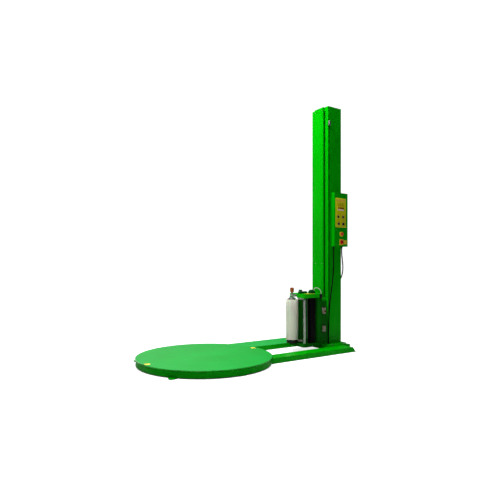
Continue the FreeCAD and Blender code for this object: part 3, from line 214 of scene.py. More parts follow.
# ---------------- finishes
@dataclass(frozen=True)
class SprayedEnamel:
    """Gloss enamel sprayed on folded steel sheet.

    It has a faint orange peel, cloudy film thickness and paint rubbed thin on its edges, and
    grows darker towards the floor. Some sheets carry painted shade below a height, or a paler
    painted reflection on their upward faces with darker tones for shade on folds and upright sides.
    """

    name: str
    colour: str
    thin_colour: str
    roughness: float = 0.26
    specular: float = 0.05
    coat: float = 0.0
    peel: float = 5 * MM
    edge: float = 2.0 * MM
    wear: float = 0.12
    floor_darkening: float = 0.12
    shade_below_colour: str = ""
    shade_below_height: float = 0.66
    fold_colour_by_light: str = ""
    side_colour_by_light: str = ""

    def build(self) -> Material:
        """Makes the material."""
        coat = Coat(self.name, {"Specular IOR Level": self.specular, "Coat Weight": self.coat,
                                "Coat Roughness": 0.12})
        place = coat.add("TexCoord").outputs["Object"]
        height = coat.add("SeparateXYZ", sockets={"Vector": place}).outputs["Z"]
        clouds = coat.spread(coat.mottle(0.45), 0.35, 0.7)
        body = coat.two_tone(clouds, self.colour, self.thin_colour)
        # Painted shade: below a height the colour darkens to a shaded tone, standing for the shade
        # under the carriage's upper tray.
        if self.shade_below_colour:
            painted_shade_below = coat.spread(height, self.shade_below_height, self.shade_below_height - 0.05)
            body = coat.two_tone(painted_shade_below, body, self.shade_below_colour)
        soft = coat.add("Bevel", {"samples": 4}, {"Radius": self.edge}).outputs["Normal"]
        flat = coat.add("NewGeometry").outputs
        # Painted light: upward faces keep the paler body colour as a painted reflection, the turn of
        # each fold gets a painted shade tone and upright sides another, darker tone.
        if self.side_colour_by_light:
            up = coat.add("SeparateXYZ", sockets={"Vector": flat["True Normal"]}).outputs["Z"]
            body = coat.two_tone(coat.spread(up, 0.99, 0.95), body, self.fold_colour_by_light)
            body = coat.two_tone(coat.spread(up, 0.25, 0.15), body, self.side_colour_by_light)
        turn = coat.add("VectorMath", {"operation": "DOT_PRODUCT"}, {0: soft, 1: flat["Normal"]})
        rim = coat.spread(turn.outputs["Value"], 0.995, 0.82)
        patchy = coat.spread(coat.mottle(0.03, detail=6.0), 0.48, 0.62, 0.0, self.wear)
        # Darker towards the floor: below 0.16 m a dark green tone is mixed in through a mottle.
        towards_floor = coat.spread(height, 0.16, 0.0, 0.0, self.floor_darkening)
        cloudy = coat.spread(coat.mottle(0.02, detail=5.0), 0.42, 0.75)
        for first, second, tone in ((rim, patchy, "3E8A3A"), (towards_floor, cloudy, "1C6418")):
            share = coat.add("Math", {"operation": "MULTIPLY", "use_clamp": True},
                             {0: first, 1: second}).outputs["Value"]
            body = coat.two_tone(share, body, tone)
        coat.feed("Base Color", body)
        coat.rough(coat.mottle(0.12, (1.0, 1.0, 0.35), 5.0), 0.3, 0.75, self.roughness, 0.8, 1.35)
        coat.relief(coat.mottle(self.peel, detail=1.0), 0.05, 0.4 * MM, soft)
        return coat.material


@dataclass(frozen=True)
class MouldedPlastic:
    """Injection-moulded plastic with a fine spark-eroded grain and slightly rubbed high spots."""

    name: str
    colour: str
    rubbed: str
    roughness: float = 0.42
    depth: float = 0.12

    def build(self) -> Material:
        """Makes the material."""
        coat = Coat(self.name, {"IOR": 1.5, "Specular IOR Level": 0.25})
        blotch = coat.spread(coat.mottle(0.02), 0.4, 0.75)
        coat.feed("Base Color", coat.two_tone(blotch, self.colour, self.rubbed))
        coat.rough(coat.mottle(0.015, detail=4.0), 0.3, 0.7, self.roughness, 0.8, 1.2)
        soft = coat.add("Bevel", {"samples": 4}, {"Radius": 0.8 * MM}).outputs["Normal"]
        coat.relief(coat.mottle(0.9 * MM, detail=2.0), self.depth, 0.2 * MM, soft)
        return coat.material


@dataclass(frozen=True)
class DrawnRubber:
    """Black rubber or PVC skin: smooth, with fine lengthwise draw lines and a dusty bloom."""

    name: str
    colour: str
    bloom: str
    roughness: float = 0.4

    def build(self) -> Material:
        """Makes the material."""
        coat = Coat(self.name, {"IOR": 1.52, "Specular IOR Level": 0.06})
        haze = coat.spread(coat.mottle(0.05, (1.0, 1.0, 0.3), 5.0), 0.45, 0.8)
        coat.feed("Base Color", coat.two_tone(haze, self.colour, self.bloom))
        lines = coat.mottle(6 * MM, (1.0, 1.0, 0.02), 2.0)
        coat.rough(lines, 0.3, 0.7, self.roughness, 0.75, 1.25)
        coat.relief(lines, 0.08, 0.3 * MM)
        return coat.material


@dataclass(frozen=True)
class TurnedMetal:
    """Turned or ground metal: fine tool lines across its axis, and dull handling marks."""

    name: str
    colour: str
    dull: str
    lines: Point = (1.0, 1.0, 14.0)
    roughness: float = 0.34

    def build(self) -> Material:
        """Makes the material."""
        coat = Coat(self.name, {"Metallic": 1.0})
        marks = coat.spread(coat.mottle(0.035, detail=5.0), 0.4, 0.7)
        coat.feed("Base Color", coat.two_tone(marks, self.colour, self.dull))
        tool = coat.mottle(9 * MM, self.lines, 2.0)
        coat.rough(tool, 0.3, 0.7, self.roughness, 0.75, 1.3)
        coat.relief(tool, 0.1, 0.15 * MM)
        return coat.material


@dataclass(frozen=True)
class StretchFilm:
    """Polyethylene stretch film wound on a roll.

    The eye sees a milky, slightly pearly skin with soft lengthwise bands where air is
    trapped, and fine winding rings on its ends.
    """

    name: str
    axis: tuple[float, float]
    colour: str
    shade: str

    def build(self) -> Material:
        """Makes the material."""
        coat = Coat(self.name, {"IOR": 1.5, "Coat Weight": 0.35, "Coat Roughness": 0.18,
                                "Subsurface Weight": 0.15, "Subsurface Scale": 0.01})
        place = coat.add("TexCoord").outputs["Object"]
        centred = coat.add("Mapping", sockets={"Vector": place, "Location": (
            -self.axis[0] * MM, -self.axis[1] * MM, 0.0)}).outputs["Vector"]
        around = coat.add("Mapping", sockets={"Vector": centred, "Scale": (1.0, 1.0, 0.05)})
        bands = coat.add("TexNoise", sockets={"Vector": around.outputs["Vector"],
                                              "Scale": 40.0, "Detail": 4.0}).outputs["Fac"]
        radial = coat.add("VectorMath", {"operation": "MULTIPLY"}, {0: centred, 1: (1.0, 1.0, 0.0)})
        reach = coat.add("VectorMath", {"operation": "LENGTH"}, {0: radial.outputs["Vector"]})
        rings = coat.add("Math", {"operation": "SINE"},
                         {0: coat.spread(reach.outputs["Value"], 0.0, 1.0, 0.0, 4200.0)})
        milky = coat.spread(bands, 0.36, 0.66)
        coat.feed("Base Color", coat.two_tone(milky, self.colour, self.shade))
        coat.feed("Roughness", coat.spread(bands, 0.3, 0.7, 0.22, 0.42))
        height = coat.add("Math", {"operation": "ADD"},
                          {0: bands, 1: coat.spread(rings.outputs["Value"], -1.0, 1.0, 0.0, 0.25)})
        coat.relief(height.outputs["Value"], 0.25, 0.8 * MM)
        return coat.material


@dataclass(frozen=True)
class PrintedFoil:
    """Screen-printed polyester foil: even satin ink with a slight mottle."""

    name: str
    colour: str
    mottle: str
    roughness: float = 0.35

    def build(self) -> Material:
        """Makes the material."""
        coat = Coat(self.name, {"Specular IOR Level": 0.2})
        ink = coat.spread(coat.mottle(0.03, detail=4.0), 0.35, 0.7)
        coat.feed("Base Color", coat.two_tone(ink, self.colour, self.mottle))
        coat.rough(coat.mottle(0.012), 0.3, 0.7, self.roughness, 0.85, 1.2)
        return coat.material


FINISHES = {
    "green": SprayedEnamel("green_enamel", "00A502", "009702"),
    # The deck's paler top is a painted reflection and its dark fold tone a painted shade line below the
    # edge.
    "deck": SprayedEnamel("deck_enamel_painted_light", "06C040", "04B636", roughness=0.2, specular=0.3,
                          coat=0.1, peel=9 * MM, wear=0.0, floor_darkening=0.0, edge=0.6 * MM,
                          fold_colour_by_light="016A0A", side_colour_by_light="02B40C"),
    # The far rail's paler top is a painted reflection; its folds and sides keep the machine green.
    "far_green_painted_sheen": SprayedEnamel("far_rail_enamel_painted_sheen", "2CB44E", "24AC46", fold_colour_by_light="00A502",
                               side_colour_by_light="00A502"),
    # A darker copy of the machine green: painted shade on the skirt ring and the parts under the deck.
    "under_deck_shaded_green": SprayedEnamel("under_deck_painted_shade_enamel", "009204", "008403", roughness=0.4, specular=0.03,
                                wear=0.0, floor_darkening=0.0),
    "roller_green": SprayedEnamel("roller_enamel", "026404", "025304", roughness=0.3),
    "bracket_green": SprayedEnamel("bracket_enamel", "0A5A2C", "084A24", roughness=0.3),
    # A darker copy of the machine green: painted shade on the carriage cover.
    "shaded_cover_green": SprayedEnamel("cover_enamel_painted_shade", "016602", "005802", roughness=0.3),
    # Carriage frame: its darker tone below 0.66 m is painted shade.
    "carriage_green": SprayedEnamel("carriage_enamel_painted_shade", "0EBE04", "0AAE04", shade_below_colour="015E03"),
    "arm_grey": SprayedEnamel("arm_enamel", "C9CEC8", "B4BAB2", roughness=0.4),
    "steel": TurnedMetal("machined_steel", "A9ABAC", "8C8E90"),
    "zinc": TurnedMetal("zinc_plate", "B9BCBA", "9A9C95", (1.0, 1.0, 1.0)),
    "grey_metal": TurnedMetal("ground_aluminium", "B4BAB4", "969C96"),
    "switch": TurnedMetal("cast_zinc_switch", "C9CCC8", "A7AAA6", (1.0, 1.0, 1.0), 0.42),
    "motor": SprayedEnamel("motor_enamel", "4B5A61", "404E55", roughness=0.45),
    "black": MouldedPlastic("black_nylon", "0B0C0C", "161717"),
    "wheel": MouldedPlastic("turned_nylon", "D8D4C6", "C3BFB0", 0.5),
    "grey_box": MouldedPlastic("grey_abs", "857F70", "75705F", 0.45),
    "red_lens": MouldedPlastic("red_polycarbonate", "5A0F14", "47090E", 0.2, depth=0.02),
    "red": MouldedPlastic("red_nylon", "C40008", "A40006", 0.3),
    "orange_red": MouldedPlastic("orange_red_nylon", "CF4A10", "BC400C", 0.28),
    "yellow": MouldedPlastic("yellow_nylon", "F2BE2C", "E2AE24", 0.4),
    "brown": MouldedPlastic("phenolic_knob", "B4602C", "7E3A1A", 0.3),
    "white": MouldedPlastic("white_nylon", "E6E4DA", "D4D2C6", 0.45),
    "rubber": DrawnRubber("roller_rubber", "030204", "080609", 0.3),
    "belt": DrawnRubber("belt_rubber", "101010", "1C1C1B", 0.6),
    "cable": DrawnRubber("cable_pvc", "040504", "0B0C0B", 0.42),
    "white_cable": DrawnRubber("white_pvc", "DADBD2", "C8C9BE", 0.4),
    "film": StretchFilm("stretch_film", REEL_AXIS, "F2EEE2", "D8D2C4"),
    "card": PrintedFoil("core_card", "A98A5E", "947750", 0.8),
    "label": PrintedFoil("panel_foil", "D6D60A", "C8C606"),
    "label_edge": PrintedFoil("panel_border", "E6E63C", "D8D830"),
    "label_title": PrintedFoil("panel_title", "E6B24A", "D8A644"),
    "plug": MouldedPlastic("yellow_polythene", "FFE95C", "F6DE48", 0.4),
    "label_red": PrintedFoil("panel_red", "B83A1A", "A83014"),
    "label_dark": PrintedFoil("panel_ink", "2E3A12", "263010"),
    "sticker": PrintedFoil("plain_sticker", "F0D040", "E4C234"),
    "window": PrintedFoil("display_window", "3A2A10", "2C1F0B", 0.12),
    "lamp_green": MouldedPlastic("green_lamp", "2FD05A", "27B84E", 0.15, depth=0.0),
    "lamp_red": MouldedPlastic("red_lamp", "D8281C", "BE2016", 0.15, depth=0.0),
}


@cache
def finish_of(name: str) -> Material:
    """Material of a finish, made on first use and then shared."""
    return FINISHES[name].build()


# ---------------- mesh tools
def show(name: str, data: bpy.types.ID) -> bpy.types.Object:
    """Makes an object and puts it in the scene."""
    item = bpy.data.objects.new(name, data)
    bpy.context.collection.objects.link(item)
    return item


def corners(node: str) -> tuple[Vector, Vector]:
    """Lowest and highest corner of a CAD node, in millimetres."""
    low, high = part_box(node)
    return Vector(low) / MM, Vector(high) / MM


def middle(node: str) -> Vector:
    """Centre of a CAD node's box, in millimetres."""
    low, high = corners(node)
    return (low + high) / 2


def ring(count: int, radius: float, start: float = 0.0) -> list[Span]:
    """Steps from a centre to places spread evenly round it, from a start in degrees."""
    turns = [math.radians(start) + math.tau * index / count for index in range(count)]
    return [(radius * math.cos(turn), radius * math.sin(turn)) for turn in turns]


def four(side: float, rise: float) -> list[Span]:
    """Steps from a centre to the corners of an oblong, given its half sizes."""
    return [(a * side, b * rise) for a in (-1, 1) for b in (-1, 1)]


class Shape:
    """Collects bmesh pieces with their finishes, in millimetres, and makes them one object."""

    def __init__(self, name: str) -> None:
        """Starts an empty piece."""
        self.name = name
        self.mesh = bmesh.new()
        self.finishes: list[str] = []

    def _absorb(self, part: bmesh.types.BMesh, finish: str, place: Matrix) -> None:
        """Moves a finished part to its place, adds it with its finish, and frees it."""
        bmesh.ops.transform(part, matrix=place, verts=part.verts)
        if finish not in self.finishes:
            self.finishes.append(finish)
        bmesh.ops.recalc_face_normals(part, faces=part.faces)
        for face in part.faces:
            face.material_index = self.finishes.index(finish)
            face.smooth = True
        carrier = bpy.data.meshes.new("carrier")
        part.to_mesh(carrier)
        part.free()
        self.mesh.from_mesh(carrier)
        bpy.data.meshes.remove(carrier)

    @staticmethod
    def _soften(part: bmesh.types.BMesh, bevel: float, segments: int = 3) -> None:
        """Rounds every sharp edge of a part."""
        sharp = [edge for edge in part.edges if edge.calc_face_angle(0.0) > math.radians(35)]
        if bevel > 0 and sharp:
            bmesh.ops.bevel(part, geom=sharp, offset=bevel * MM, offset_type="OFFSET",
                            segments=segments, profile=0.5, affect="EDGES", material=-1,
                            clamp_overlap=True)

    @staticmethod
    def _stand(foot: Point, axis: Axis) -> Matrix:
        """Place of a part that was made along +Z: on its foot, along an axis."""
        turn = Vector((0, 0, 1)).rotation_difference(Vector(axis.value)).to_matrix().to_4x4()
        return Matrix.Translation(Vector(foot) * MM) @ turn

    def slab(self, low: Point, high: Point, finish: str, bevel: float = 1.0,
             turn: Matrix | None = None) -> None:
        """Adds a softened block between two corners.

        Args:
            low: Lowest corner.
            high: Highest corner.
            finish: Name of its finish.
            bevel: Edge radius.
            turn: Optional turn about the block's centre.
        """
        part = bmesh.new()
        size = [(b - a) * MM for a, b in zip(low, high)]
        centre = Vector([(a + b) / 2 * MM for a, b in zip(low, high)])
        bmesh.ops.create_cube(part, size=1.0, matrix=Matrix.Diagonal((*size, 1.0)))
        self._soften(part, bevel)
        self._absorb(part, finish, Matrix.Translation(centre) @ (turn or Matrix.Identity(4)))

    def block(self, centre: Point, half: Point, finish: str, bevel: float = 1.0) -> None:
        """Adds a softened block about its centre, given its half sizes."""
        low, high = (tuple(c + sign * h for c, h in zip(centre, half)) for sign in (-1, 1))
        self.slab(low, high, finish, bevel)

    def drum(self, radius: float, foot: Point, length: float, axis: Axis, finish: str,
             bevel: float = 1.0, sides: int = 48) -> None:
        """Adds a softened drum.

        Args:
            radius: Its radius.
            foot: Centre of its foot.
            length: Length along its axis.
            axis: Direction from the foot.
            finish: Name of its finish.
            bevel: Edge radius.
            sides: Sides round it.
        """
        part = bmesh.new()
        bmesh.ops.create_cone(part, cap_ends=True, segments=sides, radius1=radius * MM,
                              radius2=radius * MM, depth=length * MM,
                              matrix=Matrix.Translation((0, 0, length * MM / 2)))
        self._soften(part, bevel)
        self._absorb(part, finish, self._stand(foot, axis))

    def turned(self, profile: list[Span], foot: Point, axis: Axis, finish: str, steps: int = 64,
               bevel: float = 0.0) -> None:
        """Adds a body of revolution.

        Args:
            profile: Radius and height pairs, closed where they start and end off the axis.
            foot: Where height zero lies.
            axis: Direction of height.
            finish: Name of its finish.
            steps: Faces round it.
            bevel: Edge radius.
        """
        part = bmesh.new()
        points = [part.verts.new((radius * MM, 0.0, height * MM)) for radius, height in profile]
        lines = [part.edges.new(pair) for pair in zip(points, points[1:])]
        if profile[0][0] > 0 and profile[-1][0] > 0:
            lines.append(part.edges.new((points[-1], points[0])))
        bmesh.ops.spin(part, geom=points + lines, cent=(0, 0, 0), axis=(0, 0, 1), dvec=(0, 0, 0),
                       angle=math.tau, steps=steps, use_merge=True, use_duplicate=False)
        bmesh.ops.remove_doubles(part, verts=part.verts, dist=0.001 * MM)
        bmesh.ops.recalc_face_normals(part, faces=part.faces)
        self._soften(part, bevel, 2)
        self._absorb(part, finish, self._stand(foot, axis))

    def hexagon(self, across: float, foot: Point, length: float, axis: Axis, finish: str) -> None:
        """Adds a softened hexagon nut or head."""
        self.drum(across / 2 / math.cos(math.pi / 6), foot, length, axis, finish, 0.8, sides=6)

    def bead(self, points: list[Point], radius: float, finish: str) -> None:
        """Adds a rippled weld bead along a line.

        Args:
            points: Corners of the line.
            radius: Radius of the bead.
            finish: Name of its finish.
        """
        for start, end in zip(points, points[1:]):
            run = Vector(end) - Vector(start)
            turn = Vector((0, 0, 1)).rotation_difference(run).to_matrix().to_4x4()
            count = max(1, int(run.length / (radius * 1.6)))
            for index in range(count):
                part = bmesh.new()
                bmesh.ops.create_icosphere(part, subdivisions=1, radius=radius * MM)
                centre = (Vector(start) + run * ((index + 0.5) / count)) * MM
                self._absorb(part, finish, Matrix.Translation(centre) @ turn)

    def finish(self, body: str, slot: str, stands_for: str = "") -> None:
        """Makes the object, dresses it and lets it ride.

        Args:
            body: The CAD body it moves with.
            slot: Not used.
            stands_for: The CAD node that it replaces, if any.
        """
        data = bpy.data.meshes.new(self.name)
        self.mesh.to_mesh(data)
        self.mesh.free()
        data.set_sharp_from_angle(angle=math.radians(38))
        for name in self.finishes:
            data.materials.append(finish_of(name))
        piece = show(self.name, data)
        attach(piece, body)
        if stands_for:
            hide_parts(stands_for)
        LOG.info("%s: %d faces on %s", self.name, len(data.polygons), body)


# ---------------- cables
@dataclass
class Cable:
    """Round cable on a route of chosen points, in millimetres."""

    name: str
    node: str
    body: str
    slot: str
    finish: str
    diameter: float
    length: float
    lay: str
    points: tuple[Point, ...]

    def build(self) -> None:
        data = bpy.data.curves.new(self.name, "CURVE")
        data.dimensions = "3D"
        data.bevel_depth = self.diameter / 2
        data.bevel_resolution = 6
        data.resolution_u = 16
        data.use_fill_caps = True
        line = data.splines.new("NURBS")
        line.points.add(len(self.points) - 1)
        for spot, point in zip(line.points, self.points):
            spot.co = (point[0] * MM, point[1] * MM, point[2] * MM, 1.0)
        line.order_u = 3
        line.use_endpoint_u = True
        data.materials.append(finish_of(self.finish))
        piece = show(self.name, data)
        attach(piece, self.body)
        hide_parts(self.node)
        LOG.info("%s: cable of %.2f m", self.name, self.length)


MOTOR_LEAD = Cable(
    "motor_lead", "motor_cable", "base", "cable_black", "cable", 0.015, 1.205, "hanging",
    ((1790, -180, 1296), (1790, -180, 1222), (1786, -184, 1096), (1776, -187, 975),
     (1760, -188, 856), (1740, -187, 740), (1721, -186, 624), (1706, -187, 504),
     (1697, -188, 384), (1693, -187, 268), (1697, -182, 168), (1697, -182, 95)))
MAST_LEAD = Cable(
    "mast_lead", "mast_cable", "base", "cable_black", "cable", 0.015, 0.53, "hanging",
    ((1932, -182, 1296), (1932, -182, 1215), (1947, -185, 1120), (1970, -168, 1035),
     (1988, -140, 965), (1994, -108, 905), (1985, -82, 855), (1974, -70, 824),
     (1974, -70, 796)))
BRAKE_LEAD = Cable(
    "brake_lead", "brake_cable", "carriage", "cable_white", "white_cable", 0.006, 0.173, "loose",
    ((1517, -100, 746), (1517, -100, 768), (1524, -116, 789), (1540, -148, 792),
     (1554, -174, 772), (1560, -189, 748), (1560, -189, 720)))


# ---------------- studio
@dataclass
class Studio:
    """Pale floor, soft light and the camera."""

    camera_place: Point = (-2.375, -4.397, 1.074)
    heading: float = 56.81
    lens: float = 33.4
    rise: float = 0.0474
    under_deck: Span = (0.735, 0.745)

    def build(self) -> None:
        """Makes the camera, the lights, the sky and the floor."""
        data = bpy.data.cameras.new("camera")
        data.sensor_width = 36.0
        data.lens = self.lens
        data.shift_y = self.rise
        camera = show("camera", data)
        camera.location = self.camera_place
        camera.rotation_euler = (math.radians(90), 0.0, math.radians(self.heading - 90))
        bpy.context.scene.camera = camera
        self._floor()
        self._sky()
        self._lamp("key", (-0.4, 0.2, 4.7), (1.7, 0.0, 2.8), 1.4, 80.0)
        self._lamp("overhead", (0.0, 0.2, 6.0), (0.0, 0.2, 0.0), 4.5, 420.0, mirrored=False)
        self._lamp("front", (-3.0, -6.0, 1.2), (0.0, -0.3, 0.0), 3.0, 26.0)
        self._lamp("window", (-0.6, 6.5, 2.4), (-0.2, 0.0, 0.0), 3.0, 60.0)
        bpy.context.scene.view_settings.view_transform = "Standard"

    @staticmethod
    def _lamp(name: str, place: Point, target: Point, size: float, power: float,
              mirrored: bool = True) -> None:
        """Adds a large soft lamp that faces a target, and may show in glossy surfaces."""
        data = bpy.data.lights.new(name, "AREA")
        data.shape = "DISK"
        data.size = size
        data.energy = power
        lamp = show(name, data)
        lamp.location = place
        lamp.visible_camera = False
        lamp.visible_glossy = mirrored
        lamp.rotation_euler = (Vector(target) - Vector(place)).to_track_quat("-Z", "Y").to_euler()

    @staticmethod
    def _sky() -> None:
        """Sets a white sky for the camera, and a dim one with a bright rear for the machine."""
        world = bpy.data.worlds.new("studio")
        bpy.context.scene.world = world
        world.use_nodes = True
        nodes = Nodes(world.node_tree)
        sky = world.node_tree.nodes["Background"]
        sky.inputs["Color"].default_value = (1.0, 1.0, 1.0, 1.0)
        seen = nodes.add("LightPath").outputs["Is Camera Ray"]
        towards = nodes.add("TexCoord").outputs["Generated"]
        rear = nodes.add("VectorMath", {"operation": "DOT_PRODUCT"},
                         {0: towards, 1: (0.0, 0.966, 0.259)})
        glow = nodes.spread(rear.outputs["Value"], 0.79, 0.95, 0.06, 0.30)
        strength = nodes.add("Mix", {"data_type": "FLOAT"}, {0: seen, 2: glow, 3: 1.1})
        world.node_tree.links.new(strength.outputs[0], sky.inputs["Strength"])

    def _floor(self) -> None:
        """Adds a wide pale floor that glows for the camera, but not under the deck."""
        mesh = bmesh.new()
        bmesh.ops.create_grid(mesh, x_segments=1, y_segments=1, size=40.0)
        data = bpy.data.meshes.new("floor")
        mesh.to_mesh(data)
        mesh.free()
        coat = Coat("pale_floor", {"Roughness": 0.9, "Specular IOR Level": 0.1,
                                   "Emission Color": (1.0, 1.0, 1.0, 1.0)})
        coat.feed("Base Color", coat.two_tone(coat.mottle(0.6), "D6D6D6", "DCDCDC"))
        glow = coat.add("LightPath").outputs["Is Camera Ray"]
        place = coat.add("TexCoord").outputs["Object"]
        reach = coat.add("VectorMath", {"operation": "LENGTH"}, {0: place}).outputs["Value"]
        for share in (coat.spread(reach, 2.0, 6.0, 0.8, 1.05), coat.spread(reach, *self.under_deck)):
            glow = coat.add("Math", {"operation": "MULTIPLY"}, {0: glow, 1: share}).outputs["Value"]
        coat.feed("Emission Strength", glow)
        data.materials.append(coat.material)
        show("floor", data)


# ---------------- sub-assemblies
@dataclass
class Assembly:
    """Part of the machine that dresses its CAD nodes and adds pieces to them."""

    frame: dict

    def dress(self, finish: str, nodes: str) -> None:
        """Gives a finish to CAD nodes, named with spaces between them."""
        for name in nodes.split():
            piece = self.frame["nodes"][name]
            if not piece.material_slots:
                piece.data.materials.append(finish_of(finish))
            for slot in piece.material_slots:
                slot.material = finish_of(finish)


@dataclass
class Turntable(Assembly):
    """The deck's lifting-hole plugs and the turned bits under it."""

    plug_pitch: float = 705.0
    plug_radius: float = 32.5
    plug_angles: Span = (6.0, 187.0)

    def build(self) -> None:
        """Dresses the deck and adds its plugs."""
        self.dress("deck", "table_plate")
        self.dress("steel", "table_hub pivot_post")
        self.dress("steel", "drive_ring drive_sprocket idler_sprocket drive_chain")
        self.dress("under_deck_shaded_green", "base_spider wheel_brackets skirt_ring")
        self.dress("wheel", " ".join(f"support_wheel_{number}" for number in range(1, 7)))
        self._plugs()

    def _plugs(self) -> None:
        """Adds the two yellow plugs, each with a thumb recess."""
        height = corners("table_plate")[1].z - 2.8
        rim = self.plug_radius
        shape = Shape("deck_plugs")
        for angle in self.plug_angles:
            x, y = ring(1, self.plug_pitch, angle)[0]
            shape.turned([(0, 0.6), (rim * 0.42, 0.6), (rim * 0.5, 2.3), (rim * 0.9, 2.7), (rim, 2.2),
                          (rim, 0), (0, 0)], (x, y, height), Axis.Z, "plug")
        shape.finish("turntable", "bezel_yellow")


@dataclass
class Base(Assembly):
    """Rails, foot and drive cover, with their welds and louvres."""

    bead_radius: float = 3.0
    louvre_rows: int = 6

    def build(self) -> None:
        """Dresses the base and adds its detail."""
        self.dress("green", "near_rail mast_foot motor_cover")
        self.dress("far_green_painted_sheen", "far_rail")
        self.dress("motor", "table_gearmotor lift_gearmotor")
        self.dress("zinc", "fasteners")
        self._welds()
        self._louvres()

    def _welds(self) -> None:
        """Adds the beads between foot, rails and mast."""
        foot_low, foot_high = corners("mast_foot")
        low, high = corners("mast_column")
        near, far = corners("near_rail")[1], corners("far_rail")[0]
        around = [(low.x, low.y), (high.x, low.y), (high.x, high.y), (low.x, high.y), (low.x, low.y)]
        shape = Shape("weld_beads")
        shape.bead([(x, y, foot_high.z) for x, y in around], self.bead_radius, "green")
        for y in (near.y, far.y):
            shape.bead([(foot_low.x, y, near.z), (near.x - 60, y, near.z)], self.bead_radius, "green")
        shape.finish("base", "machine_green")

    def _louvres(self) -> None:
        """Adds pressed air louvres on the drive cover's long sides."""
        low, high = corners("motor_cover")
        tilt = Matrix.Rotation(math.radians(28), 4, "X")
        shape = Shape("cover_louvres")
        for row in range(self.louvre_rows):
            height = high.z - (70 + 20 * row)
            for side, turn in ((low.y, tilt), (high.y, tilt.inverted())):
                shape.slab((low.x + 50, side - 2, height), (high.x - 50, side + 2, height + 9),
                           "green", 1.5, turn)
        shape.finish("base", "machine_green")


@dataclass
class Mast(Assembly):
    """Column, covers and limit switches."""

    def build(self) -> None:
        """Dresses the mast and adds its detail."""
        self.dress("green", "mast_column mast_front_cover mast_top_cap mast_rear_cover")
        self.dress("belt", "lift_belt")
        self.dress("steel", "lift_drive_pulley lift_top_pulley wheelset_lower wheelset_upper")
        self._switches()
        self._rear_door()

    def _switches(self) -> None:
        """Replaces both limit switches with cast bodies, lids, levers and rollers."""
        top = corners("limit_switches")[1].z
        wall = MAST_SIDE
        shape = Shape("limit_switch_pair")
        shape.slab((1722, wall - 20, 2880), (1752, wall, top), "switch", 2)
        shape.slab((1724, wall - 20.5, 2892), (1750, wall - 19.5, 2937), "zinc", 0.3)
        for x, z in four(9, 18.5):
            shape.drum(1.8, (1737 + x, wall - 19.5, 2914.5 + z), 1.6, Axis.FRONT, "steel", 0.4, 16)
        shape.slab((1729, wall - 14, 2870), (1733, wall - 8, 2882), "steel", 0.6)
        shape.drum(6, (1731, wall - 13.5, 2872), 5.4, Axis.Y, "black", 0.8)
        shape.drum(6, (1737, wall - 10, top - 1), 0.9, Axis.Z, "black", 0.2)
        shape.slab((1790, wall + 4, 590), (1815, wall + 34, 636), "switch", 2)
        shape.drum(5, (1802.5, wall + 18, 635), 11, Axis.Z, "black")
        shape.finish("base", "switch_silver", "limit_switches")

    def _rear_door(self) -> None:
        """Adds a bow handle to the rear door."""
        door = corners("mast_rear_cover")[1].x
        shape = Shape("rear_door_handle")
        shape.slab((door, -50, 470), (door + 3, 50, 500), "black")
        for side in (-42, 42):
            shape.drum(5, (door, side, 485), 24, Axis.X, "black")
        shape.slab((door + 18, -50, 478), (door + 27, 50, 492), "black", 3)
        shape.finish("base", "black_plastic")


